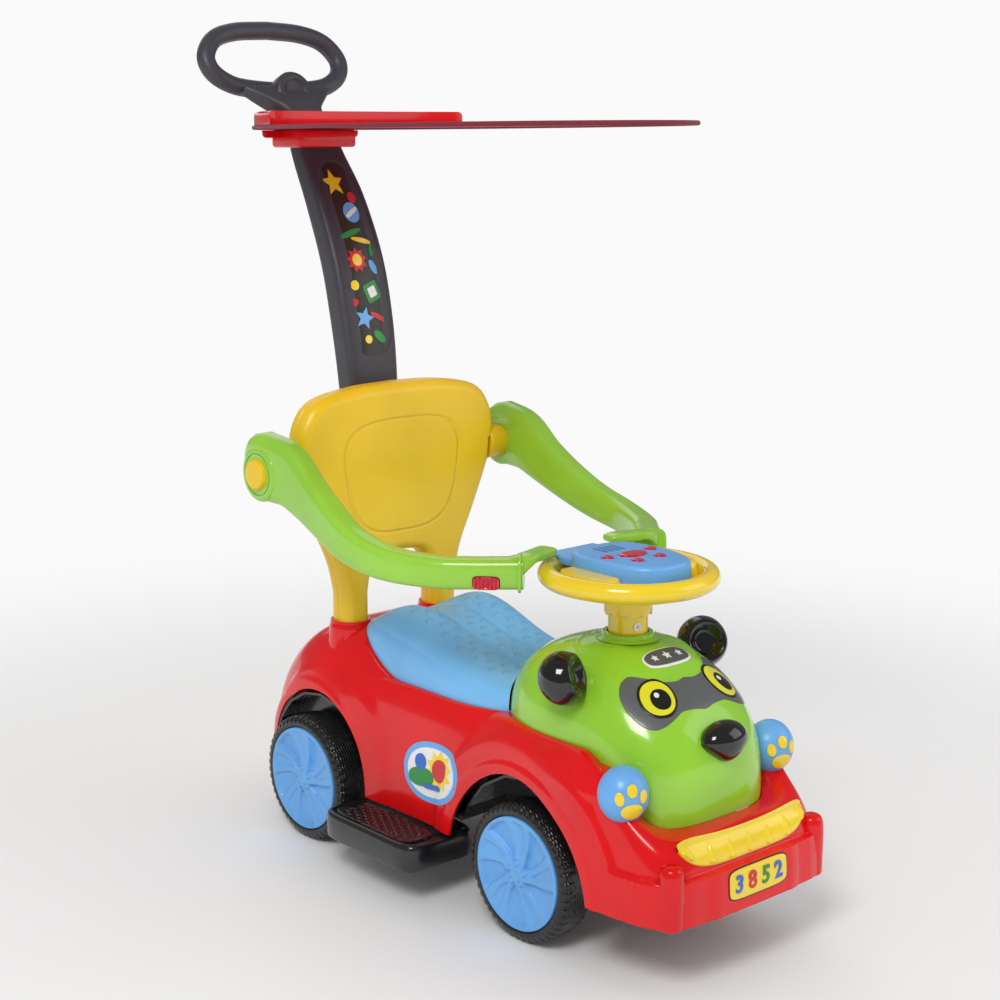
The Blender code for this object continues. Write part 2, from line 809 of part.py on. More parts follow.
def build_tray(material):
    tray_top_z = tray_floor_z + tray_thickness
    tray = tray_slab(material)
    arches = ((front_arch_y, front_arch_z, front_arch_radius, well_inner_x),
              (rear_arch_y, rear_arch_z, rear_arch_radius, rear_well_inner_x))
    for sign in sides.values():
        for arch in arches:
            wall = well_solid("well_wall", sign, arch, well_wall, well_outer_x)
            cut(wall, box("below_wall", (-0.16, -0.40, -0.10), (0.16, 0.30, tray_floor_z + 0.001)))
            join(tray, wall)
    for sign in sides.values():
        for arch in arches:
            cut(tray, well_solid("well_space", sign, arch, 0.0, 0.16))
    for sign in sides.values():
        start = sign * (well_inner_x - 0.002)
        end = sign * (kingpin_x + kingpin_radius + 0.0085)
        join(tray,
             box("kingpin_bracket",
                 (min(start, end), front_axle_y - bracket_half_width, bracket_bottom_z),
                       (max(start, end), front_axle_y + bracket_half_width, tray_top_z)))
    bearing_height = tray_floor_z + tray_thickness + 0.012
    join(tray, rod("rod_bearing", (steering_x, steering_y, tray_floor_z + 0.001),
                   (steering_x, steering_y, bearing_height), rod_radius + 0.005, segments=20))
    for sign in sides.values():
        low = (min(sign * 0.052, sign * 0.058), rear_axle_y - 0.012, axle_z - 0.012)
        high = (max(sign * 0.052, sign * 0.058), rear_axle_y + 0.012, tray_floor_z + 0.001)
        join(tray, box("axle_bracket", low, high))
    for sign in sides.values():
        cut(tray,
            rod("kingpin_bore", (sign * kingpin_x, front_axle_y, 0.07),
                (sign * kingpin_x, front_axle_y, 0.11),
                      kingpin_radius + bore_gap, segments=16))
    cut(tray, rod("rod_hole", (steering_x, steering_y, 0.08), (steering_x, steering_y, 0.13),
                  rod_radius + bore_gap, segments=20))
    cut(tray, rod("axle_hole", (-0.07, rear_axle_y, axle_z), (0.07, rear_axle_y, axle_z),
                  axle_radius + bore_gap, segments=16))
    return tray


def build_tub(material):
    low = Vector((-tub_half_width, tub_front_y, tray_floor_z + tray_thickness + touch_gap))
    high = Vector((tub_half_width, tub_rear_y, tub_top_z))
    tub = box("storage_tub", low, high, material)
    inset = Vector((tub_wall, tub_wall, tub_wall))
    cut(tub, box("tub_inside", low + inset, high + Vector((-tub_wall, -tub_wall, 0.02))))
    return tub


def build_footboards(material):
    for side, sign in sides.items():
        def across(inner, outer):
            return min(sign * inner, sign * outer), max(sign * inner, sign * outer)
        low_x, high_x = across(footboard_inner_x, footboard_outer_x)
        board = box("footboard_" + side, (low_x, footboard_front_y, footboard_bottom_z),
                    (high_x, footboard_rear_y, footboard_top_z), material, 0.007, 3)
        low_x, high_x = across(footboard_inner_x + 0.008, footboard_step_x)
        join(board, box("footboard_mount", (low_x, footboard_front_y + 0.012, footboard_top_z - 0.01),
                        (high_x, footboard_rear_y - 0.012, tray_floor_z - touch_gap)))
        low_x, high_x = across(0.112, footboard_outer_x - 0.009)
        join(board, box("footboard_tread", (low_x, footboard_front_y + 0.012, footboard_top_z - 0.002),
                        (high_x, footboard_rear_y - 0.012, footboard_top_z + footboard_tread_height)))


def build_wheel(name, sign, axle_y, tyre_material, hub_material, origin_x):
    """Tyre with its web and barrel in one moulding, and the snapped-in hubcap."""
    width = tyre_width
    outer = tyre_radius / math.cos(math.pi / wheel_segments)
    bead = hub_radius + touch_gap
    bore = axle_radius + bore_gap
    barrel_end = width * 0.72
    profile = [(bore, 0.0), (hub_barrel_radius, 0.0), (bead - 0.006, 0.009), (outer - 0.006, 0.0),
               (outer, 0.0075),
               (outer, width - 0.0085), (outer - 0.0060, width - 0.0015), (bead, width - 0.0015),
               (bead, width - hubcap_depth), (hub_barrel_radius, barrel_end), (bore, barrel_end)]
    centre = Vector((sign * wheel_inner_x, axle_y, axle_z))
    turn = Matrix.Rotation(math.pi / wheel_segments, 4, "Z")
    tyre = turned("tyre_" + name, profile, axis_matrix((sign, 0, 0), centre) @ turn, tyre_material,
                  wheel_segments)
    set_origin(tyre, (sign * origin_x, axle_y, axle_z))
    face = width
    cap = [(0.0, face - 0.0005), (0.010, face - 0.0008), (0.024, face - 0.0038), (0.0555, face),
           (hub_radius, face - 0.0015), (hub_radius, face - hubcap_depth + touch_gap),
           (0.050, face - hubcap_depth + touch_gap), (0.0, face - hubcap_depth + touch_gap)]
    hubcap = turned("hubcap_" + name, cap, axis_matrix((sign, 0, 0), centre) @ turn, hub_material,
                    wheel_segments)
    for index in range(spoke_count):
        dent = spoke_dent(2 * math.pi * index / spoke_count)
        dent.data.transform(axis_matrix((sign, 0, 0), centre + Vector((sign * (face + 0.0015), 0, 0))))
        cut(hubcap, dent)
    set_origin(hubcap, (sign * origin_x, axle_y, axle_z))


def spoke_dent(angle):
    """A leaf-shaped hollow between two spokes of a hubcap, at local +Z."""
    bm = bmesh.new()
    bmesh.ops.create_uvsphere(bm, u_segments=6, v_segments=4, radius=1.0)
    matrix = (Matrix.Rotation(angle, 4, "Z") @ Matrix.Translation((0.0365, 0.003, 0.0))
              @ Matrix.Rotation(math.radians(24), 4,
                                "Z") @ Matrix.Diagonal((0.0150, 0.0068, 0.0050, 1.0)))
    bmesh.ops.transform(bm, matrix=matrix, verts=bm.verts)
    return finish_mesh("spoke_dent", bm, None)


def build_axles(steel, dark):
    barrel_end_x = wheel_inner_x + tyre_width * 0.72 + touch_gap
    axle_end_x = barrel_end_x + push_nut_thickness
    axle = rod("rear_axle", (-axle_end_x, rear_axle_y, axle_z), (axle_end_x, rear_axle_y, axle_z),
               axle_radius, steel)
    join(axle, rod("axle_head", (barrel_end_x, rear_axle_y, axle_z), (axle_end_x, rear_axle_y, axle_z),
                   push_nut_radius))
    nut_bore = axle_radius + touch_gap
    turned("rear_push_nut",
           [(nut_bore, 0.0), (push_nut_radius, 0.0), (push_nut_radius, push_nut_thickness),
                             (nut_bore, push_nut_thickness)],
           axis_matrix((-1, 0, 0), (-barrel_end_x, rear_axle_y, axle_z)), steel, 16)
    for side, sign in sides.items():
        low = knuckle_bottom_z - touch_gap
        high = tray_floor_z + tray_thickness + touch_gap
        turned("kingpin_" + side, [(0.0, low - 0.0045), (kingpin_head_radius, low - 0.0045),
                                   (kingpin_head_radius, low), (kingpin_radius, low),
                                   (kingpin_radius, high),
                                   (kingpin_head_radius, high), (kingpin_head_radius, high + 0.0027),
                                   (0.0, high + 0.0027)],
               Matrix.Translation((sign * kingpin_x, front_axle_y, 0.0)), steel, 12)
    for side, sign in sides.items():
        pivot = (sign * kingpin_x, front_axle_y, axle_z)
        knuckle = rod("knuckle_" + side, (*pivot[:2], knuckle_bottom_z),
                      (*pivot[:2], bracket_bottom_z - touch_gap),
                      knuckle_radius, dark, 14)
        arm_end = front_axle_y + crank_length
        arm_x = sign * kingpin_x
        join(knuckle, box("knuckle_arm", (arm_x - 0.006, front_axle_y, knuckle_bottom_z),
                          (arm_x + 0.006, arm_end, tie_rod_bottom_z - touch_gap)))
        join(knuckle, rod("knuckle_eye", (arm_x, arm_end, knuckle_bottom_z),
                          (arm_x, arm_end, tie_rod_bottom_z - touch_gap), 0.0068, segments=12))
        join(knuckle, rod("link_pin", (arm_x, arm_end, knuckle_bottom_z + 0.001),
                          (arm_x, arm_end, tie_rod_bottom_z + tie_rod_thickness + 0.002), link_pin_radius,
                           segments=10))
        cut(knuckle,
            rod("kingpin_hole", (*pivot[:2], 0.03), (*pivot[:2], 0.12), kingpin_radius + bore_gap,
                         segments=12))
        bolt_hole = rod("bolt_hole", (sign * (kingpin_x + 0.0065), front_axle_y, axle_z),
                        (sign * 0.13, front_axle_y, axle_z), axle_radius + bore_gap, segments=12)
        cut(knuckle, bolt_hole)
        set_origin(knuckle, pivot)
        head_x = wheel_inner_x + tyre_width * 0.72 + touch_gap
        bolt = rod("wheel_bolt_" + side, (sign * (kingpin_x + 0.0068), front_axle_y, axle_z),
                   (sign * (head_x + 0.0005), front_axle_y, axle_z), axle_radius, steel)
        join(bolt, rod("bolt_head", (sign * head_x, front_axle_y, axle_z),
                       (sign * (head_x + push_nut_thickness), front_axle_y, axle_z),
                       wheel_bolt_head_radius,
                       segments=6))
        set_origin(bolt, pivot)


def build_steering_gear(steel, dark):
    crank_y = steering_y + crank_length
    bend_z = tie_rod_bottom_z + tie_rod_thickness + rod_radius + 0.006
    path = [(steering_x, steering_y, wheel_plate_bottom_z - touch_gap),
            (steering_x, steering_y, bend_z + 0.014),
            (steering_x, steering_y, bend_z + 0.006), (steering_x, steering_y + 0.0045, bend_z + 0.0012),
            (steering_x, steering_y + 0.009, bend_z), (steering_x, crank_y - 0.009, bend_z),
            (steering_x, crank_y - 0.0035, bend_z - 0.0012), (steering_x, crank_y, bend_z - 0.0055),
            (steering_x, crank_y, tie_rod_bottom_z - 0.0030)]
    curve = bpy.data.curves.new("steering_rod", "CURVE")
    curve.dimensions = "3D"
    curve.bevel_depth = rod_radius
    curve.bevel_resolution = 2
    curve.use_fill_caps = True
    curve.resolution_u = 1
    spline = curve.splines.new("POLY")
    spline.points.add(len(path) - 1)
    for point, place in zip(spline.points, path):
        point.co = (place[0] - steering_x, place[1] - steering_y, place[2], 1.0)
    curve.materials.append(steel)
    steering_rod = bpy.data.objects.new("steering_rod", curve)
    bpy.context.scene.collection.objects.link(steering_rod)
    steering_rod.location = (steering_x, steering_y, 0.0)
    top_z = tie_rod_bottom_z + tie_rod_thickness
    link_y = front_axle_y + crank_length
    tie_rod = box("tie_rod", (-kingpin_x, link_y - tie_rod_half_width, tie_rod_bottom_z),
                  (kingpin_x, link_y + tie_rod_half_width, top_z), dark)
    join(tie_rod,
         box("crank_tab", (-0.0085, crank_y - 0.0085, tie_rod_bottom_z), (0.0085, link_y, top_z)))
    for sign in sides.values():
        join(tie_rod, rod("link_eye", (sign * kingpin_x, link_y, tie_rod_bottom_z),
                          (sign * kingpin_x, link_y, top_z), link_eye_radius, segments=12))
    for place in ((kingpin_x, link_y, link_pin_radius), (-kingpin_x, link_y, link_pin_radius),
                  (steering_x, crank_y, rod_radius)):
        cut(tie_rod, rod("link_hole", (place[0], place[1], 0.04), (place[0], place[1], 0.08),
                         place[2] + 2 * bore_gap, segments=10))
    set_origin(tie_rod, (kingpin_x, link_y, tie_rod_bottom_z))


def build_steering_wheel(yellow, blue, red, steel, dark):
    pivot = Vector((steering_x, steering_y, 0.0))
    tube = [(rim_radius + rim_tube_radius * math.cos(2 * math.pi * i / rim_tube_sides),
             rim_plane_z + rim_tube_radius * math.sin(2 * math.pi * i / rim_tube_sides))
            for i in range(rim_tube_sides)]
    wheel = turned("steering_wheel", tube, Matrix.Translation(pivot), yellow, 24, 60.0)
    plate_top = wheel_plate_bottom_z + wheel_plate_thickness
    dish = turned("wheel_dish",
                  [(0.0, wheel_plate_bottom_z), (hub_skirt_radius - 0.003, wheel_plate_bottom_z),
                                 (hub_skirt_radius - 0.004, hub_skirt_bottom_z + 0.002),
                                 (hub_skirt_radius - 0.001, hub_skirt_bottom_z),
                                 (hub_skirt_radius + 0.001, wheel_plate_bottom_z - 0.004),
                                 (wheel_plate_radius * 0.7, wheel_plate_bottom_z - 0.002),
                                 (wheel_plate_radius, wheel_plate_bottom_z),
                                 (rim_radius - 0.003, rim_plane_z - rim_tube_radius + 0.002),
                                 (rim_radius - 0.005, rim_plane_z - 0.003),
                                 (wheel_plate_radius, plate_top), (0.0, plate_top)],
                  Matrix.Translation(pivot), None, 18)
    join(wheel, dish)
    for sign in sides.values():
        pad_x = (sign * (console_half_width - 0.004), sign * (rim_radius - 0.002))
        join(wheel,
             box("wheel_pad",
                 (min(pad_x), steering_y - wheel_pad_half_width, wheel_plate_bottom_z + 0.001),
                        (max(pad_x), steering_y + wheel_pad_half_width, wheel_pad_top_z), None, 0.003, 2))
    cut(wheel,
        console_block("console_seat", plate_top, console_top_z + 0.01, touch_gap, None, wing=False),
        console_wing("wing_seat", touch_gap))
    set_origin(wheel, pivot)

    sleeve_top = wheel_plate_bottom_z - touch_gap
    inner = sleeve_radius - sleeve_wall
    sleeve = turned("steering_sleeve",
                    [(inner, sleeve_bottom_z + 0.002), (sleeve_radius + 0.0004, sleeve_bottom_z),
                                        (sleeve_radius, sleeve_top - 0.004),
                     (sleeve_radius - 0.0006, sleeve_top),
                                        (inner, sleeve_top)],
                    Matrix.Translation(pivot), yellow, 18)
    screw_z = sleeve_bottom_z + 0.013
    web = box("rod_clamp", (-0.008, -sleeve_radius + 0.001, screw_z - 0.007),
              (0.008, sleeve_radius - 0.001, screw_z + 0.007))
    web.data.transform(Matrix.Translation(pivot))
    join(sleeve, web)
    cut(sleeve,
        rod("rod_hole", (*pivot[:2], 0.28), (*pivot[:2], 0.36), rod_radius + bore_gap, segments=16))
    screw_turn = Matrix.Rotation(math.radians(-18), 4, "Z")
    outward = screw_turn @ Vector((0, -1, 0))
    seat_point = Vector((*pivot[:2], screw_z)) + outward * (sleeve_radius - 0.0015)
    cut(sleeve, rod("screw_recess", seat_point, seat_point + outward * 0.01, 0.0046, segments=16))
    set_origin(sleeve, pivot)
    screw = rod("clamp_screw", seat_point + outward * touch_gap, seat_point + outward * 0.0022, 0.0042,
                steel, 16)
    for cross_angle in (0, 90):
        slot = box("cross_slot", (-0.0026, -0.0005, -0.0011), (0.0026, 0.0005, 0.0011))
        slot.data.transform(axis_matrix(outward, seat_point + outward * 0.0022)
                            @ Matrix.Rotation(math.radians(cross_angle + 20), 4, "Z"))
        cut(screw, slot)
    set_origin(screw, pivot)

    base_low = plate_top + touch_gap
    base_high = base_low + console_base_thickness
    base = console_block("console_base", base_low, base_high, -0.0035, dark, wing=False)
    set_origin(base, pivot)
    shell_low = base_low
    console = console_block("steering_console", shell_low, console_top_z, 0.0, blue, wing=True)
    hollow = console_block("console_hollow", shell_low - 0.01, console_top_z - console_wall,
                           -0.0035 + touch_gap, None, wing=False)
    cut(console, hollow)
    cut(console,
        console_block("base_recess", shell_low - 0.01, base_high + touch_gap, -0.0035 + touch_gap, None,
                               wing=False))
    buttons = [("horn_button", (steering_x, horn_button_y), horn_button_half_length,
                horn_button_half_depth)]
    for index, place in enumerate(tune_button_places):
        buttons.append(("tune_button_%d" % (index + 1), place, tune_button_radius, tune_button_radius))
    board_top = console_top_z - console_wall - 0.0062
    for name, place, half_length, half_depth in buttons:
        centre = Vector((place[0], place[1], 0.0))
        clearance = 0.0004
        cut(console, button_shape("button_hole", centre, half_length + clearance, half_depth + clearance,
                                  console_top_z - 0.01, console_top_z + 0.01, 0.0))
        button = button_shape(name, centre, half_length, half_depth,
                              board_top + button_travel + touch_gap + 0.0002, console_top_z + 0.0022,
                              0.0016)
        flange_top = console_top_z - console_wall - touch_gap
        join(button, button_shape("button_flange", centre, half_length + 0.0018, half_depth + 0.0018,
                                  flange_top - 0.0012, flange_top, 0.0))
        button.data.materials.append(red)
        set_origin(button, (place[0], place[1], console_top_z))
    set_origin(console, pivot)
    board = box("circuit_board", (-0.036, -0.262, board_top - 0.0016), (0.036, -0.212, board_top),
                make_material("board_green", (0.05, 0.22, 0.10), 0.5))
    join(board,
         box("board_post_left", (0.030, -0.262, base_high + touch_gap), (0.034, -0.256, board_top)))
    join(board,
         box("board_post_right", (-0.034, -0.262, base_high + touch_gap), (-0.030, -0.256, board_top)))
    set_origin(board, pivot)
    speaker = rod("speaker", (0.0, -0.190, base_high + touch_gap), (0.0, -0.190, base_high + 0.0062),
                  0.0145, dark, 20,
                  0.012)
    set_origin(speaker, pivot)
    pack_z = base_high + touch_gap + battery_radius
    pack = box("battery_pack", (-0.0225, horn_button_y - 0.0130, base_high + touch_gap),
               (0.0225, horn_button_y + 0.0130, base_high + touch_gap + battery_radius * 0.8), dark)
    for offset in (-0.0062, 0.0062):
        join(pack, rod("battery_cell", (-0.0212, horn_button_y + offset, pack_z),
                       (0.0212, horn_button_y + offset, pack_z), battery_radius, segments=12))
    set_origin(pack, pivot)


def console_outline(outset):
    """Rounded body of the console, narrower towards the front."""
    half = console_half_width + outset
    front = console_front_y - outset
    rear = console_rear_y + outset
    points = []
    for step in range(18):
        angle = 2 * math.pi * step / 18
        x = half * math.copysign(abs(math.cos(angle)) ** 0.62, math.cos(angle))
        middle = (front + rear) / 2
        y = middle + (rear - front) / 2 * math.copysign(abs(math.sin(angle)) ** 0.62, math.sin(angle))
        narrowing = 1 - 0.16 * smooth_step(middle - y, 0.0, 0.06)
        points.append((x * narrowing, y))
    return points


def console_block(name, low, high, outset, material, wing):
    outline = console_outline(outset)
    round_edge = min(0.0035, (high - low) * 0.4)
    middle = Vector((0.0, (console_front_y + console_rear_y) / 2))
    rings = []
    for z, inward in ((low, 0.0), (high - round_edge, 0.0), (high - round_edge * 0.3, round_edge * 0.3),
                      (high, round_edge)):
        ring = []
        for x, y in outline:
            offset = Vector((x, y)) - middle
            place = middle + offset * (1 - inward / offset.length)
            ring.append(Vector((place.x, place.y, z)))
        rings.append(ring)
    block = lofted(name, rings, material)
    if wing:
        join(block, console_wing("console_wing", 0.0))
    return block


def console_wing(name, outset):
    """The part of the console that lies over the rear of the rim."""
    return box(name,
               (-console_wing_half_width - outset, console_rear_y - 0.025,
                console_wing_bottom_z - outset),
               (console_wing_half_width + outset, console_wing_rear_y + outset,
                console_wing_top_z + outset))


def button_shape(name, centre, half_length, half_depth, low, high, crown):
    levels = [(low, 1.0), (high - crown, 1.0)]
    if crown:
        levels.append((high, 0.72))
    rings = [[Vector((centre.x + half_length * share * math.cos(2 * math.pi * i / 12),
                      centre.y + half_depth * share * math.sin(2 * math.pi * i / 12), z))
              for i in range(12)] for z, share in levels]
    return lofted(name, rings)


def backrest_outline():
    """Whole outline in X and Z, with the two legs and the gap between them."""
    leg_outer = leg_x + leg_half_width
    leg_inner = leg_x - leg_half_width
    flare = backrest_half_width - leg_outer
    rise = backrest_wide_z - leg_shoulder_z
    crown = backrest_top_z - backrest_wide_z
    outer = smooth_path([(leg_outer, leg_shoulder_z)]
                        + [(leg_outer + flare * x, leg_shoulder_z + rise * z)
                           for x, z in ((0.162, 0.220), (0.538, 0.506), (0.878, 0.793), (1.0, 1.0))]
                        + [(backrest_half_width * x, backrest_wide_z + crown * z)
                           for x, z in ((0.960, 0.467), (0.801, 0.818), (0.433, 0.964), (0.0, 1.0))], 2)
    gap = smooth_path([(leg_inner, leg_shoulder_z), (leg_inner - 0.004, leg_shoulder_z + 0.018),
                       (0.0300, leg_gap_top_z - 0.005),
                       (0.0, leg_gap_top_z)], 2)
    right_half = [(leg_outer, leg_bottom_z)] + [tuple(point) for point in outer]
    gap_half = [(leg_inner, leg_bottom_z)] + [tuple(point) for point in gap]
    outline = right_half + [(-x, z) for x, z in right_half[-2::-1]]
    outline += [(-x, z) for x, z in gap_half] + gap_half[-2::-1]
    return [Vector((x, z)) for x, z in outline]


def inset_outline(outline, distance):
    """Moves every point of a closed outline inwards along its mitred normal."""
    moved = []
    count = len(outline)
    area = sum(outline[i - 1].x * outline[i].y - outline[i].x * outline[i - 1].y for i in range(count))
    distance = math.copysign(distance, distance * area)
    for i, point in enumerate(outline):
        before = (point - outline[i - 1]).normalized()
        after = (outline[(i + 1) % count] - point).normalized()
        normal_before = Vector((-before.y, before.x))
        normal_after = Vector((-after.y, after.x))
        mitre = (normal_before + normal_after).normalized()
        moved.append(point + mitre * distance / max(mitre.dot(normal_before), 0.35))
    return moved


def backrest_half(name, sign, material):
    """One moulded half: sign -1 faces the child, +1 faces the push column."""
    outline = backrest_outline()
    half = backrest_thickness / 2
    seam = sign * touch_gap / 2
    radius = backrest_edge_round

    def level(depth, inset):
        return [Vector((point.x, backrest_y + seam + sign * depth,
                        point.y)) for point in inset_outline(outline, inset)]
    outer = [level(0.0, 0.0)]
    for degrees in (0, 42, 82):
        angle = math.radians(degrees)
        outer.append(level(half - radius + radius * math.sin(angle),
                           radius * (1 - math.cos(angle)) * 0.92))
    wall = backrest_wall
    inner = [level(0.0, wall)]
    for degrees in (0, 85):
        angle = math.radians(degrees)
        inner.append(level(half - radius + (radius - wall) * math.sin(angle),
                           wall + (radius - wall) * (1 - math.cos(angle)) * 0.92))
    return lofted(name, inner[::-1] + outer, material, smooth_angle=50.0)


def build_backrest(yellow, steel):
    front = backrest_half("backrest_front", -1.0, yellow)
    rear = backrest_half("backrest_rear", 1.0, yellow)
    boss_inner = backrest_half_width - 0.006
    boss_outer = guard_arm_inner_x() - touch_gap
    for sign in sides.values():
        place = (guard_pivot_y, guard_pivot_z)
        cut(front,
            rod("boss_relief", (sign * (boss_inner - 0.004), *place),
                (sign * (boss_outer + 0.01), *place),
                       pivot_boss_radius + touch_gap, segments=18))
        join(rear, rod("pivot_boss", (sign * boss_inner, *place), (sign * boss_outer, *place),
                       pivot_boss_radius, segments=18))
    half_width, half_depth = column_size(column_socket_top_z)
    socket_rear = column_centre_y(column_socket_top_z) + half_depth + column_socket_wall
    socket = box("column_socket",
                 (-half_width - column_socket_wall, backrest_y + backrest_thickness / 2 - 0.004,
                                   column_end_z - 0.008),
                 (half_width + column_socket_wall, socket_rear, column_socket_top_z), None, 0.004, 2)
    join(rear, socket)
    cut(rear,
        column_solid("column_bore", touch_gap, column_end_z - touch_gap, column_socket_top_z + 0.03))
    for sign in sides.values():
        cut(rear, rod("pin_bore", (sign * (boss_inner - 0.01), guard_pivot_y, guard_pivot_z),
                      (sign * 0.20, guard_pivot_y, guard_pivot_z), pivot_pin_radius + touch_gap,
                      segments=16))
        cut(front, rod("pin_relief", (sign * (boss_inner - 0.01), guard_pivot_y, guard_pivot_z),
                       (sign * 0.20, guard_pivot_y, guard_pivot_z), pivot_pin_radius + touch_gap,
                       segments=16))
    for side, sign in sides.items():
        length = guard_arm_outer_x() - 0.004 - (boss_inner - 0.003)
        head = pivot_pin_radius + 0.003
        turned("pivot_pin_" + side,
               [(0.0, 0.0), (pivot_pin_radius, 0.0), (pivot_pin_radius, length - 0.003),
                                     (head, length - 0.003), (head, length), (0.0, length)],
               axis_matrix((sign, 0, 0), (sign * (boss_inner - 0.003), guard_pivot_y, guard_pivot_z)),
               steel, 16)


def guard_arm_inner_x():
    return guard_pivot_x - guard_arm_thickness / 2


def guard_arm_outer_x():
    return guard_pivot_x + guard_arm_thickness / 2


def guard_path():
    """Centre line of the left arm from its pivot to its tongue: place, height and thickness."""
    stations = [(guard_pivot_x, guard_pivot_y, guard_pivot_z), (0.1690, 0.115, 0.4290),
                (0.1685, 0.080, 0.4140),
                (0.1710, 0.040, 0.3940), (0.1735, 0.000, 0.3780), (0.1690, -0.050, 0.3680),
                (0.1470, -0.100, 0.3646), (0.1240, -0.1280, 0.3650), (0.1060, -0.1480, 0.3658),
                (0.0890, -0.1660, 0.3665)]
    return smooth_path(stations, 2)


def section_ring(centre, tangent, thickness, height, round_share=0.42, count=8):
    """Rounded rectangle across the path, upright."""
    tangent = Vector(tangent).normalized()
    across = Vector((tangent.y, -tangent.x, 0.0)).normalized()
    upward = across.cross(tangent).normalized()
    if upward.z < 0:
        upward = -upward
    ring = []
    for i in range(count):
        angle = 2 * math.pi * (i + 0.5) / count
        x = math.copysign(abs(math.cos(angle)) ** (1 - round_share), math.cos(angle))
        z = math.copysign(abs(math.sin(angle)) ** (1 - round_share), math.sin(angle))
        ring.append(Vector(centre) + across * x * thickness / 2 + upward * z * height / 2)
    return ring


def build_guard_arm(side, sign, green, yellow):
    path = guard_path()
    rings = []
    for i, point in enumerate(path):
        tangent = path[min(i + 1, len(path) - 1)] - path[max(i - 1, 0)]
        share = i / (len(path) - 1)
        height = guard_arm_rear_height + (guard_arm_front_height - guard_arm_rear_height) * smooth_step(share, 0.08, 0.62)
        if i == 0:
            tangent = (0.0, -1.0, 0.0)
        rings.append(section_ring(point, tangent, guard_arm_thickness, height))
    rings = [[Vector((sign * point.x, point.y, point.z)) for point in ring] for ring in rings]
    arm = lofted("guard_arm_" + side, rings, green, smooth_angle=50.0)
    pivot = (sign * guard_pivot_x, guard_pivot_y, guard_pivot_z)
    join(arm,
         rod("arm_end", (sign * guard_arm_inner_x(), *pivot[1:]),
             (sign * guard_arm_outer_x(), *pivot[1:]),
                  guard_end_radius, segments=18))
    tongue_top = guard_tongue_bottom_z + guard_tongue_thickness
    tongue_rings = []
    for x, y, top, low, depth in ((0.1060, -0.1460, 0.3795, 0.3560, 0.022),
                                  (0.0930, -0.1600, 0.3835, 0.3600, 0.023),
                                  (0.0830, -0.1640, tongue_top, guard_tongue_bottom_z,
                                   guard_tongue_depth),
                                  (0.0650, -0.1590, tongue_top, guard_tongue_bottom_z,
                                   guard_tongue_depth),
                                  (0.0480, -0.1545, tongue_top, guard_tongue_bottom_z,
                                   guard_tongue_depth),
                                  (guard_tongue_end_x, -0.1520, tongue_top - 0.002,
                                   guard_tongue_bottom_z + 0.002,
                                   guard_tongue_depth - 0.005)):
        direction = (-1.0, -0.9, 0.0) if x > 0.09 else (-1.0, 0.20, 0.0)
        tongue_rings.append(section_ring((x, y, (top + low) / 2), direction, depth, top - low))
    tongue_rings = [[Vector((sign * point.x, point.y,
                             point.z)) for point in ring] for ring in tongue_rings]
    join(arm, lofted("guard_tongue", tongue_rings))
    collar_centre = Vector(path[-1])
    collar_direction = Vector((-0.70, -0.71, 0.0))
    collar_rings = []
    for offset in (-guard_collar_thickness / 2, guard_collar_thickness / 2):
        collar_rings.append([Vector((sign * point.x, point.y, point.z)) for point in
                             section_ring(collar_centre + collar_direction * offset, collar_direction,
                                          guard_arm_thickness + guard_collar_proud,
                                          guard_arm_front_height + guard_collar_proud)])
    join(arm, lofted("guard_collar", collar_rings))
    cut(arm, turned("rim_sweep", [(0.0, 0.30), (rim_radius + rim_tube_radius + running_gap, 0.30),
                                  (rim_radius + rim_tube_radius + running_gap,
                                   guard_tongue_bottom_z - 0.0002),
                                  (0.0, guard_tongue_bottom_z - 0.0002)],
                    Matrix.Translation((steering_x, steering_y, 0.0)), None, 32))
    cut(arm, rod("boss_sweep", (sign * 0.12, *pivot[1:]), (sign * guard_arm_inner_x(), *pivot[1:]),
                 pivot_boss_radius + running_gap, segments=18))
    cut(arm,
        rod("pin_bore", (sign * 0.12, *pivot[1:]), (sign * 0.22, *pivot[1:]), pivot_pin_radius + bore_gap,
                 segments=16))
    cut(arm,
        rod("cap_recess", (sign * (guard_arm_outer_x() - 0.0075), *pivot[1:]), (sign * 0.22, *pivot[1:]),
                 pivot_cap_radius + touch_gap, segments=18))
    if side == "right":
        cut_latch_pocket(arm, sign)
    set_origin(arm, pivot)
    cap_start = guard_arm_outer_x() - 0.0075 + touch_gap + 0.0038
    crown = [(0.0, 0.0), (pivot_cap_radius, 0.0), (pivot_cap_radius, 0.0045)]
    for degrees in (30, 65):
        angle = math.radians(degrees)
        crown.append((pivot_cap_radius * math.cos(angle),
                      0.0045 + (pivot_cap_height - 0.0045) * math.sin(angle)))
    crown.append((0.0, pivot_cap_height))
    cap = turned("pivot_cap_" + side, crown, axis_matrix((sign, 0, 0), (sign * cap_start, *pivot[1:])),
                 yellow, 18)
    set_origin(cap, pivot)


def latch_frame():
    """Middle of the latch on the arm's outer face and the face's outward direction."""
    path = np.array(guard_path())[::-1]

    def place(y):
        return Vector([float(np.interp(y, path[:, 1], path[:, axis])) for axis in range(3)])
    tangent = (place(latch_y - 0.012) - place(latch_y + 0.012)).normalized()
    outward = Vector((-tangent.y, tangent.x, 0.0)).normalized()
    centre = place(latch_y) + outward * guard_arm_thickness / 2
    return Vector((-centre.x, centre.y, centre.z - latch_drop)), Vector((-outward.x, outward.y, 0.0))


def latch_matrix(depth):
    centre, outward = latch_frame()
    upward = Vector((0, 0, 1))
    matrix = Matrix((outward, upward.cross(outward), upward)).transposed().to_4x4()
    return Matrix.Translation(centre - outward * depth) @ matrix


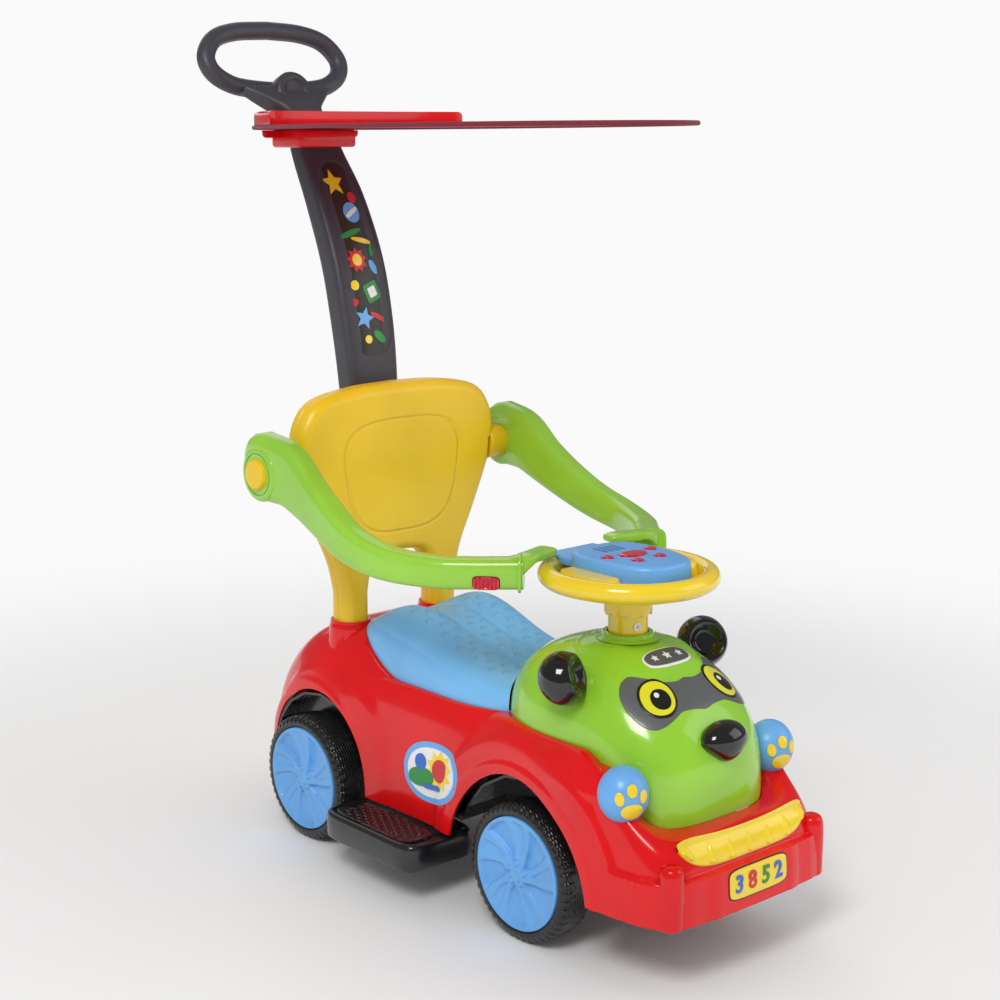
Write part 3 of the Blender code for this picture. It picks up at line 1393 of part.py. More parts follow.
def cut_latch_pocket(arm, sign):
    pocket = box("latch_pocket",
                 (-latch_depth - latch_travel - 0.002, -latch_length / 2 - 0.0006,
                  -latch_height / 2 - 0.0006),
                 (0.02, latch_length / 2 + 0.0006, latch_height / 2 + 0.0006))
    pocket.data.transform(latch_matrix(0.0))
    cut(arm, pocket)


def build_latch(red, steel):
    back = -latch_depth + 0.0035
    button = box("latch_button", (back, -latch_length / 2, -latch_height / 2),
                 (latch_proud, latch_length / 2, latch_height / 2), red, 0.0008, 1)
    for index in range(6):
        y = -latch_length / 2 + latch_length * (index + 0.5) / 6
        groove = box("latch_groove", (latch_proud - 0.0009, y - 0.0007, -latch_height / 2 + 0.0015),
                     (latch_proud + 0.01, y + 0.0007, latch_height / 2 - 0.0015))
        groove.data.transform(latch_matrix(0.0))
        cut(button, groove)
    button.data.transform(latch_matrix(0.0))
    centre, outward = latch_frame()
    set_origin(button, centre)
    start = -latch_depth - latch_travel - 0.002 + touch_gap + spring_wire_radius
    length = back - start - touch_gap - spring_wire_radius
    points = []
    steps = spring_turns * 8
    for step in range(steps + 1):
        angle = 2 * math.pi * step / 8
        points.append(Vector((start + length * step / steps, spring_coil_radius * math.cos(angle),
                              spring_coil_radius * math.sin(angle))))
    curve = bpy.data.curves.new("latch_spring", "CURVE")
    curve.dimensions = "3D"
    curve.bevel_depth = spring_wire_radius
    curve.bevel_resolution = 0
    curve.use_fill_caps = True
    spline = curve.splines.new("POLY")
    spline.points.add(len(points) - 1)
    matrix = latch_matrix(0.0)
    for point, place in zip(spline.points, points):
        point.co = (*(matrix @ place), 1.0)
    curve.materials.append(steel)
    spring = bpy.data.objects.new("latch_spring", curve)
    bpy.context.scene.collection.objects.link(spring)


def column_stations():
    """Centre line of the push column: depth place, height, half width, half depth."""
    return [(0.1920, 0.3600, 0.0310, 0.0140), (0.1925, 0.4400, 0.0325, 0.0150),
            (0.1967, 0.5100, 0.0345, 0.0168),
            (0.2069, 0.5770, 0.0365, 0.0172), (0.2244, 0.6440, 0.0365, 0.0172),
            (0.2552, 0.7100, 0.0345, 0.0165),
            (0.2870, 0.7600, 0.0300, 0.0145), (0.3107, 0.8080, 0.0260, 0.0125)]


def column_curve():
    return smooth_path(column_stations(), 2)


def column_at(z):
    curve = np.array(column_curve())
    return [float(np.interp(z, curve[:, 1], curve[:, axis])) for axis in (0, 2, 3)]


def column_centre_y(z):
    return column_at(z)[0]


def column_size(z):
    return column_at(z)[1], column_at(z)[2]


def column_solid(name, outset, low, high, material=None):
    path = [point for point in column_curve() if low < point[1] < high]
    for z, at_end in ((low, 0), (high, len(path) + 1)):
        y, half_width, half_depth = column_at(z)
        path.insert(at_end, np.array([y, z, half_width, half_depth]))
    rings = []
    for i, (y, z, half_width, half_depth) in enumerate(path):
        before = path[max(i - 1, 0)]
        after = path[min(i + 1, len(path) - 1)]
        tangent = Vector((0.0, after[0] - before[0], after[1] - before[1])).normalized()
        across = Vector((1, 0, 0))
        forward = tangent.cross(across).normalized()
        ring = []
        for step in range(8):
            angle = 2 * math.pi * (step + 0.5) / 8
            x = math.copysign(abs(math.cos(angle)) ** 0.42, math.cos(angle))
            d = math.copysign(abs(math.sin(angle)) ** 0.42, math.sin(angle))
            ring.append(Vector((0, y,
                                z)) + across * x * (half_width + outset) + forward * d * (half_depth + outset))
        rings.append(ring)
    return lofted(name, rings, material, smooth_angle=50.0)


def build_column(dark):
    top = column_top_z()
    column = column_solid("push_column", 0.0, column_end_z, top + 0.012, dark)
    cut(column, box("above_column", (-0.08, 0.20, top), (0.08, 0.40, top + 0.06)))
    recess_rings = []
    for z in np.linspace(0.535, 0.745, 7):
        y, half_width, half_depth = column_at(z)
        width = half_width - 0.0095
        ahead = column_at(z + 0.002)
        tangent = Vector((0.0, ahead[0] - y, 0.002)).normalized()
        forward = tangent.cross(Vector((1, 0, 0))).normalized()
        if forward.y > 0:
            forward = -forward
        centre = Vector((0, y, z)) + forward * (half_depth - column_recess_depth)
        outer = centre + forward * 0.01
        recess_rings.append([centre + Vector((width, 0, 0)), outer + Vector((width, 0, 0)),
                             outer - Vector((width, 0, 0)), centre - Vector((width, 0, 0))])
    cut(column, lofted("label_recess", recess_rings))
    return column


def build_handle(dark):
    """Neck, dimpled plate and the loop the adult holds."""
    plane_up = Vector((0.0, math.sin(handle_lean), math.cos(handle_lean)))
    centre = Vector((0.0, handle_centre_y, handle_centre_z))
    half = [(0.0, handle_loop_height), (0.045, handle_loop_height - 0.003),
            (0.076, handle_loop_height - 0.013),
            (0.0925, handle_loop_height - 0.034), (0.0880, 0.010), (0.0660, -0.004), (0.0360, -0.009),
            (0.0, -0.011)]
    curve_half = smooth_path(half, 2)
    loop_points = [tuple(point) for point in curve_half] + [(-x, s) for x, s in
                                                             [tuple(p) for p in curve_half][-2:0:-1]]
    rings = []
    count = len(loop_points)
    normal = Vector((1, 0, 0)).cross(plane_up)
    for i, (x, s) in enumerate(loop_points):
        before = Vector(loop_points[i - 1])
        after = Vector(loop_points[(i + 1) % count])
        along = (after - before).normalized()
        across = Vector((1, 0, 0)) * -along.y + plane_up * along.x
        place = centre + Vector((x, 0, 0)) + plane_up * s
        rings.append([place + across * handle_tube_radius * math.cos(2 * math.pi * k / 6)
                      + normal * handle_tube_radius * math.sin(2 * math.pi * k / 6) for k in range(6)])
    loop = lofted("handle_loop", rings, dark, closed=True, smooth_angle=60.0)
    plate = turned("dimple_plate", [(0.0, -0.0105), (handle_dimple_radius - 0.004, -0.0105),
                                    (handle_dimple_radius, -0.006), (handle_dimple_radius, 0.005),
                                    (handle_dimple_radius - 0.005, 0.0105),
                                    (handle_dimple_radius - 0.009, 0.0105),
                                    (0.0, 0.0065)],
                   axis_matrix(-normal if normal.y > 0 else normal, centre - plane_up * 0.012), None, 20)
    join(loop, plate)
    join(loop, neck_solid("neck", 0.0))
    return loop


def column_top_z():
    return canopy_z - 0.020


def neck_solid(name, outset):
    """Slanted neck between the column's end and the handle's plate."""
    low_z = column_top_z() + touch_gap - outset
    rings = []
    for y, z, half_width, half_depth in ((column_centre_y(low_z), low_z, 0.0225, 0.0135),
                                         (column_centre_y(canopy_z), canopy_z, 0.0215, 0.0130),
                                         (0.3250, 0.8160, 0.0215, 0.0120),
                                         (0.3420, 0.8290, 0.0240, 0.0105)):
        ring = []
        for step in range(12):
            angle = 2 * math.pi * (step + 0.5) / 12
            x = math.copysign(abs(math.cos(angle)) ** 0.5, math.cos(angle)) * (half_width + outset)
            d = math.copysign(abs(math.sin(angle)) ** 0.5, math.sin(angle)) * (half_depth + outset)
            ring.append(Vector((x, y + d, z)))
        rings.append(ring)
    return lofted(name, rings)


def canopy_outline(outset, count=30):
    middle = (canopy_rear_y + canopy_front_y) / 2
    half_length = (canopy_rear_y - canopy_front_y) / 2 + outset
    half_width = canopy_half_width + outset
    points = []
    for step in range(count):
        angle = 2 * math.pi * step / count
        x = half_width * math.copysign(abs(math.cos(angle)) ** (2 / canopy_power), math.cos(angle))
        y = middle + half_length * math.copysign(abs(math.sin(angle)) ** (2 / canopy_power),
                                                 math.sin(angle))
        points.append(Vector((x, y)))
    return points


def canopy_slab(name, outset, low, high, round_edge, material, upward=True):
    outline = canopy_outline(outset)
    inner = canopy_outline(outset - round_edge)
    middle = canopy_outline(outset - round_edge * 0.3)
    levels = [(low, outline), (high - round_edge, outline), (high - round_edge * 0.3, middle),
              (high, inner)]
    if not upward:
        levels = [(low, inner), (low + round_edge * 0.3, middle), (low + round_edge, outline),
                  (high, outline)]
    rings = [[Vector((point.x, point.y, z)) for point in ring] for z, ring in levels]
    return lofted(name, rings, material)


def build_canopy(red, fabric_red, dark):
    rings = []
    outline = canopy_outline(-hoop_radius)
    count = len(outline)
    for i, point in enumerate(outline):
        along = (outline[(i + 1) % count] - outline[i - 1]).normalized()
        normal = Vector((along.y, -along.x, 0.0))
        rings.append([Vector((point.x, point.y,
                              canopy_z)) + normal * hoop_radius * math.cos(2 * math.pi * k / 6)
                      + Vector((0, 0,
                                1)) * hoop_radius * math.sin(2 * math.pi * k / 6) for k in range(6)])
    hoop = lofted("canopy_hoop", rings, dark, closed=True)
    neck = rod("neck_hole", (0, 0.300, canopy_z - 0.05), (0, 0.318, canopy_z + 0.05), 0.028, segments=24)
    fabric = canopy_slab("canopy_fabric", -2 * hoop_radius - touch_gap, canopy_z - fabric_thickness / 2,
                         canopy_z + fabric_thickness / 2, 0.0002, fabric_red)
    cut(fabric, neck)
    gap = hoop_radius + touch_gap
    upper = canopy_slab("canopy_upper_cover", -0.0005, canopy_z + gap,
                        canopy_z + gap + canopy_upper_thickness, 0.0045, red)
    cut(upper, cover_front_cut("cover_front", 0.0))
    cut(upper, neck_solid("upper_bore", neck_gap))
    lower = canopy_slab("canopy_lower_cover", -0.006, canopy_z - gap - canopy_lower_thickness,
                        canopy_z - gap,
                        0.0035, red, upward=False)
    cut(lower, cover_front_cut("lower_cover_front", 0.012))
    clamp_low = canopy_z - gap - canopy_lower_thickness - canopy_clamp_height
    y, half_width, half_depth = column_at(clamp_low)
    clamp = box("clamp_block",
                (-half_width - canopy_clamp_margin, y - half_depth - canopy_clamp_margin - 0.004,
                 clamp_low),
                (half_width + canopy_clamp_margin, y + half_depth + canopy_clamp_margin,
                 canopy_z - gap - 0.004), None,
                0.002, 1)
    join(lower, clamp)
    cut(lower, neck_solid("lower_bore", neck_gap),
        column_solid("column_bore_above", neck_gap, column_top_z() - 0.05, column_top_z() + 0.012))
    pivot = Matrix.Translation((0.0, canopy_tilt_y, canopy_z))
    tilt = pivot @ Matrix.Rotation(canopy_tilt, 4, "X") @ pivot.inverted()
    for piece in (hoop, fabric, upper, lower):
        piece.matrix_world = tilt


def cover_front_cut(name, shift):
    return rod(name, (0, canopy_cover_cut_y + shift, canopy_z - 0.05),
               (0, canopy_cover_cut_y + shift, canopy_z + 0.05), canopy_cover_cut_radius, segments=64)


def main():
    clear_scene()
    red = make_material("red_body", (0.72, 0.01, 0.015), 0.22)
    green = make_material("green_hood", (0.24, 0.58, 0.04), 0.25)
    blue = make_material("light_blue", (0.13, 0.42, 0.78), 0.30)
    yellow = make_material("yellow_plastic", (0.86, 0.56, 0.03), 0.30)
    black = make_material("black_gloss", (0.01, 0.01, 0.012), 0.15)
    rubber = make_material("black_tyre", (0.015, 0.015, 0.015), 0.45)
    charcoal = make_material("charcoal", (0.055, 0.055, 0.065), 0.42)
    steel = make_material("steel", (0.6, 0.6, 0.62), 0.30, 1.0)
    button_red = make_material("button_red", (0.70, 0.02, 0.04), 0.30)
    canopy_red = make_material("canopy_fabric_red", (0.62, 0.05, 0.08), 0.80)
    tub_grey = make_material("tub_grey", (0.20, 0.20, 0.21), 0.5)
    build_body(red)
    build_hood(green)
    build_seat(blue)
    build_face(black, blue, yellow)
    build_tray(rubber)
    build_tub(tub_grey)
    build_footboards(rubber)
    for side, sign in sides.items():
        build_wheel("rear_" + side, sign, rear_axle_y, rubber, blue, 0.105)
        build_wheel("front_" + side, sign, front_axle_y, rubber, blue, 0.105)
    build_axles(steel, rubber)
    build_steering_gear(steel, rubber)
    build_steering_wheel(yellow, blue, button_red, steel, rubber)
    build_backrest(yellow, steel)
    for side, sign in sides.items():
        build_guard_arm(side, sign, green, yellow)
    build_latch(button_red, steel)
    build_column(charcoal)
    build_handle(charcoal)
    build_canopy(red, canopy_red, charcoal)


main()
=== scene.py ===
import json
import math

import bpy
from mathutils import Matrix, Vector

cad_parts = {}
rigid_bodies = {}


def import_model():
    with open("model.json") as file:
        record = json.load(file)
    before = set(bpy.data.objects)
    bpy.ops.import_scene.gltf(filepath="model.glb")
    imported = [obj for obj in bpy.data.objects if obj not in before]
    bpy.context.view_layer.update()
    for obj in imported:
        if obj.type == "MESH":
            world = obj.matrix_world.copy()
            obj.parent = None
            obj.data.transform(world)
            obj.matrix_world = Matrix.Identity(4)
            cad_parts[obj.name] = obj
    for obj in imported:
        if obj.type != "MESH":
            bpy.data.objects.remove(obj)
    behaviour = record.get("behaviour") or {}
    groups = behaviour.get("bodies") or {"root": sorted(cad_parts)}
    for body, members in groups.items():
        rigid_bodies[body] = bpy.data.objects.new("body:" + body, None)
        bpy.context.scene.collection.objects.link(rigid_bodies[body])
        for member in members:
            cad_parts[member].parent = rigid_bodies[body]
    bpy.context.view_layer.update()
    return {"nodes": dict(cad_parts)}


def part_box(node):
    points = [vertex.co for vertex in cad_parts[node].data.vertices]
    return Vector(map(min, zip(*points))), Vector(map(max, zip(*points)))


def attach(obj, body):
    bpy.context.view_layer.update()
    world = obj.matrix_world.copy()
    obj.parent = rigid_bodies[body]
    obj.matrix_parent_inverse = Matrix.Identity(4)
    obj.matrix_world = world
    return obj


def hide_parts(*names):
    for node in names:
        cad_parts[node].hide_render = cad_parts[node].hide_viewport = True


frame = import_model()
nodes = frame["nodes"]
print("frame loaded:", len(nodes), "nodes")


# small tools
def deselectAll():
    if bpy.context.object and bpy.context.object.mode != "OBJECT":
        bpy.ops.object.mode_set(mode="OBJECT")
    bpy.ops.object.select_all(action="DESELECT")


def makeActive(piece):
    deselectAll()
    piece.select_set(True)
    bpy.context.view_layer.objects.active = piece


def modify(piece, kind, **settings):
    makeActive(piece)
    bpy.ops.object.modifier_add(type=kind)
    modifier = piece.modifiers[-1]
    for key, value in settings.items():
        setattr(modifier, key, value)
    bpy.ops.object.modifier_apply(modifier=modifier.name)


def cleanMesh(piece, distance=0.00002):
    makeActive(piece)
    bpy.ops.object.mode_set(mode="EDIT")
    bpy.ops.mesh.select_all(action="SELECT")
    bpy.ops.mesh.remove_doubles(threshold=distance)
    bpy.ops.mesh.dissolve_degenerate(threshold=distance)
    bpy.ops.mesh.normals_make_consistent(inside=False)
    bpy.ops.object.mode_set(mode="OBJECT")


def placeInMesh(piece):
    # the finished piece sits at the origin, unturned and unscaled
    makeActive(piece)
    bpy.ops.object.transform_apply(location=True, rotation=True, scale=True)


def smooth(piece, degrees=38.0):
    makeActive(piece)
    bpy.ops.object.shade_smooth_by_angle(angle=math.radians(degrees))


def gridPiece(name, columns, rows, placeAt, closed=True):
    # a grid primitive whose points are moved to placeAt(u, v), both from 0 to 1
    deselectAll()
    bpy.ops.mesh.primitive_grid_add(x_subdivisions=columns, y_subdivisions=rows, size=2)
    piece = bpy.context.object
    piece.name = name
    piece.data.name = name
    for point in piece.data.vertices:
        u = round((point.co.x + 1) / 2 * columns) / columns
        v = round((point.co.y + 1) / 2 * rows) / rows
        point.co = placeAt(u, v)
    if closed:
        cleanMesh(piece)
    return piece


def joined(name, pieces):
    makeActive(pieces[0])
    for piece in pieces[1:]:
        piece.select_set(True)
    bpy.ops.object.join()
    pieces[0].name = name
    return pieces[0]


def cutBy(piece, cutter, operation="DIFFERENCE"):
    modify(piece, "BOOLEAN", operation=operation, object=cutter)
    bpy.data.objects.remove(cutter, do_unlink=True)


def thicken(piece, thickness, offset=-1.0):
    modify(piece, "SOLIDIFY", thickness=thickness, offset=offset, use_even_offset=False)


def roundEdges(piece, width, segments=3, degrees=35.0):
    modify(piece, "BEVEL", width=width, segments=segments, limit_method="ANGLE",
           angle_limit=math.radians(degrees))


def fillOpenEdges(piece):
    makeActive(piece)
    bpy.ops.object.mode_set(mode="EDIT")
    bpy.ops.mesh.select_all(action="DESELECT")
    bpy.ops.mesh.select_mode(type="EDGE")
    bpy.ops.mesh.select_non_manifold()
    bpy.ops.mesh.edge_face_add()
    bpy.ops.mesh.select_all(action="SELECT")
    bpy.ops.mesh.normals_make_consistent(inside=False)
    bpy.ops.object.mode_set(mode="OBJECT")


def ballPiece(name, segments, rings):
    deselectAll()
    bpy.ops.mesh.primitive_uv_sphere_add(segments=segments, ring_count=rings, radius=1)
    piece = bpy.context.object
    piece.name = name
    return piece


def ellipsoidPiece(name, centre, radii, segments=64):
    piece = ballPiece(name, segments, segments // 2)
    piece.data.transform(Matrix.Translation(Vector(centre)) @ Matrix.Diagonal((*radii, 1)))
    return piece


def cylinderPiece(radius, depth, centre, rotation=(0, 0, 0), vertices=128):
    deselectAll()
    bpy.ops.mesh.primitive_cylinder_add(radius=radius, depth=depth, location=centre, rotation=rotation,
                                        vertices=vertices)
    return bpy.context.object


def boxPiece(name, low, high, edge=0.0, segments=3):
    deselectAll()
    bpy.ops.mesh.primitive_cube_add(size=1)
    piece = bpy.context.object
    piece.name = name
    centre = (Vector(low) + Vector(high)) / 2
    size = Vector(high) - Vector(low)
    piece.data.transform(Matrix.Translation(centre) @ Matrix.Diagonal((*size, 1)))
    if edge:
        roundEdges(piece, edge, segments)
    return piece


def finishPiece(piece, material, body, replaced=(), degrees=38.0):
    placeInMesh(piece)
    piece.data.materials.clear()
    piece.data.materials.append(material)
    smooth(piece, degrees)
    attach(piece, body)
    if replaced:
        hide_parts(*replaced)
    return piece


def finishShape(piece, material):
    return finishPiece(piece, material, "chassis", (), 50)


def smoothStep(value, low, high):
    t = min(max((value - low) / (high - low), 0.0), 1.0)
    return t * t * (3 - 2 * t)


def lerp(first, second, share):
    return first + (second - first) * share


def splinePoints(ends, perSpan):
    # Catmull-Rom through all but the first and last of ends, which are tuples of any length
    path = []
    for i in range(1, len(ends) - 2):
        for step in range(perSpan):
            t = step / perSpan
            path.append(tuple(0.5 * (2 * b + (c - a) * t + (2 * a - 5 * b + 4 * c - d) * t ** 2
                                     + (3 * b - a - 3 * c + d) * t ** 3)
                              for a, b, c, d in zip(*ends[i - 1:i + 3])))
    return path


def curveThrough(points, perSpan=8):
    before = tuple(2 * a - b for a, b in zip(points[0], points[1]))
    after = tuple(2 * a - b for a, b in zip(points[-1], points[-2]))
    return splinePoints([before, *points, after], perSpan) + [tuple(points[-1])]


def closedCurve(points, perSpan=7):
    return splinePoints([points[-1], *points, points[0], points[1]], perSpan)


def atValue(path, key, value):
    # the path's values where its entry number key equals value
    for first, second in zip(path, path[1:]):
        low, high = first[key], second[key]
        if min(low, high) <= value <= max(low, high) and low != high:
            share = (value - low) / (high - low)
            return tuple(lerp(a, b, share) for a, b in zip(first, second))
    return path[0] if abs(path[0][key] - value) < abs(path[-1][key] - value) else path[-1]


def alongPath(path, share):
    place = share * (len(path) - 1)
    index = min(int(place), len(path) - 2)
    return tuple(lerp(a, b, place - index) for a, b in zip(path[index], path[index + 1]))


def roundedCorner(angle, power):
    return (math.copysign(abs(math.cos(angle)) ** power, math.cos(angle)),
            math.copysign(abs(math.sin(angle)) ** power, math.sin(angle)))


def resampled(outline, count):
    lengths = [0.0]
    closedLine = list(outline) + [outline[0]]
    for first, second in zip(closedLine, closedLine[1:]):
        lengths.append(lengths[-1] + math.dist(first, second))
    points, index = [], 0
    for step in range(count):
        wanted = lengths[-1] * step / count
        while lengths[index + 1] < wanted:
            index += 1
        share = (wanted - lengths[index]) / max(lengths[index + 1] - lengths[index], 1e-9)
        points.append(tuple(lerp(a, b, share) for a, b in zip(closedLine[index], closedLine[index + 1])))
    return points


def turnedPiece(name, profile, matrix, segments=96, reliefAt=None):
    # spins (radius, height) points; the profile is open and starts and ends on the axis, or is a closed ring
    def placeAt(u, v):
        radius, height = alongPath(profile, v)
        angle = 2 * math.pi * u
        if reliefAt:
            radius, height = reliefAt(radius, height, angle)
        return matrix @ Vector((radius * math.cos(angle), radius * math.sin(angle), height))
    return gridPiece(name, segments, len(profile) - 1, placeAt)


def facing(direction, point):
    direction = Vector(direction).normalized()
    return Matrix.Translation(Vector(point)) @ direction.to_track_quat("Z", "Y").to_matrix().to_4x4()


def filletProfile(points, radius, steps=4):
    # rounds the corners of an open profile
    rounded = [points[0]]
    for before, corner, after in zip(points, points[1:], points[2:]):
        corner = Vector(corner)
        backward = Vector(before) - corner
        forward = Vector(after) - corner
        reach = min(radius, backward.length * 0.45, forward.length * 0.45)
        start = corner + backward.normalized() * reach
        end = corner + forward.normalized() * reach
        for step in range(steps + 1):
            t = step / steps
            rounded.append(tuple(start * (1 - t) ** 2 + corner * 2 * t * (1 - t) + end * t ** 2))
    rounded.append(points[-1])
    return rounded


# materials
def newMaterial(name):
    material = bpy.data.materials.new(name)
    material.use_nodes = True
    return material, material.node_tree, material.node_tree.nodes["Principled BSDF"]


def addNode(tree, kind, **settings):
    node = tree.nodes.new(kind)
    for key, value in settings.items():
        setattr(node, key, value)
    return node


def noiseFrom(tree, coordinates, scale, detail=3.0, roughness=0.5):
    noise = addNode(tree, "ShaderNodeTexNoise")
    noise.inputs["Scale"].default_value = scale
    noise.inputs["Detail"].default_value = detail
    noise.inputs["Roughness"].default_value = roughness
    tree.links.new(coordinates, noise.inputs["Vector"])
    return noise.outputs["Fac"]


def calc(tree, operation, first, second=None, third=None):
    node = addNode(tree, "ShaderNodeMath", operation=operation)
    for socket, value in zip(node.inputs, (first, second, third)):
        if value is None:
            continue
        if isinstance(value, (int, float)):
            socket.default_value = value
        else:
            tree.links.new(value, socket)
    return node.outputs[0]


def remap(tree, value, low, high, fromLow=0.0, fromHigh=1.0):
    node = addNode(tree, "ShaderNodeMapRange")
    node.inputs["From Min"].default_value = fromLow
    node.inputs["From Max"].default_value = fromHigh
    node.inputs["To Min"].default_value = low
    node.inputs["To Max"].default_value = high
    tree.links.new(value, node.inputs["Value"])
    return node.outputs["Result"]


def blendColour(tree, factor, first, second):
    node = addNode(tree, "ShaderNodeMix", data_type="RGBA")
    tree.links.new(factor, node.inputs["Factor"])
    node.inputs["A"].default_value = (*first, 1.0)
    node.inputs["B"].default_value = (*second, 1.0)
    return node.outputs["Result"]


def addBump(tree, shader, height, distance, strength=1.0, before=None):
    bump = addNode(tree, "ShaderNodeBump")
    bump.inputs["Distance"].default_value = distance
    bump.inputs["Strength"].default_value = strength
    tree.links.new(height, bump.inputs["Height"])
    if before:
        tree.links.new(before, bump.inputs["Normal"])
    tree.links.new(bump.outputs["Normal"], shader.inputs["Normal"])
    return bump.outputs["Normal"]


def mouldedPlastic(name, colour, look):
    # look: roughness, spread of roughness, grain size and height, slow waviness, coat
    material, tree, shader = newMaterial(name)
    coordinates = addNode(tree, "ShaderNodeTexCoord").outputs["Object"]
    shade = noiseFrom(tree, coordinates, 9.0, 2.0)
    darker = [channel * 0.93 for channel in colour]
    lighter = [min(channel * 1.05 + 0.002, 1.0) for channel in colour]
    tree.links.new(blendColour(tree, remap(tree, shade, 0, 1, 0.35, 0.65), darker, lighter),
                   shader.inputs["Base Color"])
    scuffs = noiseFrom(tree, coordinates, 55.0, 6.0, 0.62)
    roughness = remap(tree, scuffs, look["roughness"] - look["spread"], look["roughness"] + look["spread"],
                      0.3, 0.7)
    tree.links.new(roughness, shader.inputs["Roughness"])
    waves = noiseFrom(tree, coordinates, 24.0, 1.0)
    normal = addBump(tree, shader, waves, look["waves"], 0.35)
    grain = noiseFrom(tree, coordinates, look["grainScale"], 3.0)
    addBump(tree, shader, grain, look["grainHeight"], 0.5, normal)
    shader.inputs["Coat Weight"].default_value = look["coat"]
    shader.inputs["Coat Roughness"].default_value = 0.06
    shader.inputs["IOR"].default_value = 1.49
    return material, tree, shader, coordinates


def plastic(name, colour, look):
    return mouldedPlastic(name, colour, look)[0]


def bumpOnTop(tree, shader, height, distance, strength):
    addBump(tree, shader, height, distance, strength, shader.inputs["Normal"].links[0].from_socket)


def splitAxes(tree, coordinates):
    parts = addNode(tree, "ShaderNodeSeparateXYZ")
    tree.links.new(coordinates, parts.inputs[0])
    return parts.outputs


glossy = {"roughness": 0.19, "spread": 0.04, "grainScale": 900.0, "grainHeight": 0.00001, "waves": 0.0006,
          "coat": 0.55}
satin = {"roughness": 0.36, "spread": 0.06, "grainScale": 1100.0, "grainHeight": 0.00006, "waves": 0.0005,
         "coat": 0.10}
shiny = {"roughness": 0.10, "spread": 0.04, "grainScale": 700.0, "grainHeight": 0.00001, "waves": 0.0003,
         "coat": 0.60}
dull = {"roughness": 0.48, "spread": 0.07, "grainScale": 1000.0, "grainHeight": 0.00010, "waves": 0.0004,
        "coat": 0.0}

colours = {"red": (0.720, 0.003, 0.006), "green": (0.290, 0.610, 0.032), "blue": (0.135, 0.395, 0.790),
           "yellow": (0.840, 0.545, 0.008), "lemon": (0.870, 0.630, 0.020), "black": (0.006, 0.006, 0.007),
           "tyre": (0.010, 0.010, 0.011), "charcoal": (0.045, 0.043, 0.055),
           "maskGrey": (0.105, 0.110, 0.115),
           "button": (0.560, 0.012, 0.035), "white": (0.80, 0.80, 0.80)}

redPlastic = plastic("redPlastic", colours["red"], dict(glossy, coat=0.35))
redPlastic.node_tree.nodes["Principled BSDF"].inputs["Specular IOR Level"].default_value = 0.30
greenPlastic = plastic("greenPlastic", colours["green"], glossy)
greenArmPlastic = plastic("greenArmPlastic", (0.285, 0.590, 0.040), dict(glossy, roughness=0.30))
bluePlastic = plastic("bluePlastic", colours["blue"], satin)
yellowPlastic = plastic("yellowPlastic", colours["yellow"], satin)
lemonPlastic = plastic("lemonPlastic", colours["lemon"], glossy)
blackGloss = plastic("blackGloss", colours["black"], shiny)
blackPlastic = plastic("blackPlastic", colours["tyre"], dict(glossy, roughness=0.28))
charcoalPlastic = plastic("charcoalPlastic", colours["charcoal"], dict(dull, roughness=0.42))
buttonRed = plastic("buttonRed", colours["button"], glossy)
maskPaint = plastic("maskPaint", colours["maskGrey"], dict(satin, coat=0.25))
whitePaint = plastic("whitePaint", colours["white"], satin)
eyeYellow = plastic("eyeYellow", (0.760, 0.740, 0.020), glossy)
blackPaint = plastic("blackPaint", (0.006, 0.006, 0.006), satin)
tubGrey = plastic("tubGrey", (0.20, 0.20, 0.21), dull)
boardGreen = plastic("boardGreen", (0.03, 0.20, 0.07), satin)


def steelMaterial():
    material, tree, shader = newMaterial("zincSteel")
    coordinates = addNode(tree, "ShaderNodeTexCoord").outputs["Object"]
    tree.links.new(remap(tree, noiseFrom(tree, coordinates, 300.0, 4.0), 0.22, 0.42),
                   shader.inputs["Roughness"])
    shader.inputs["Base Color"].default_value = (0.62, 0.62, 0.64, 1)
    shader.inputs["Metallic"].default_value = 1.0
    return material


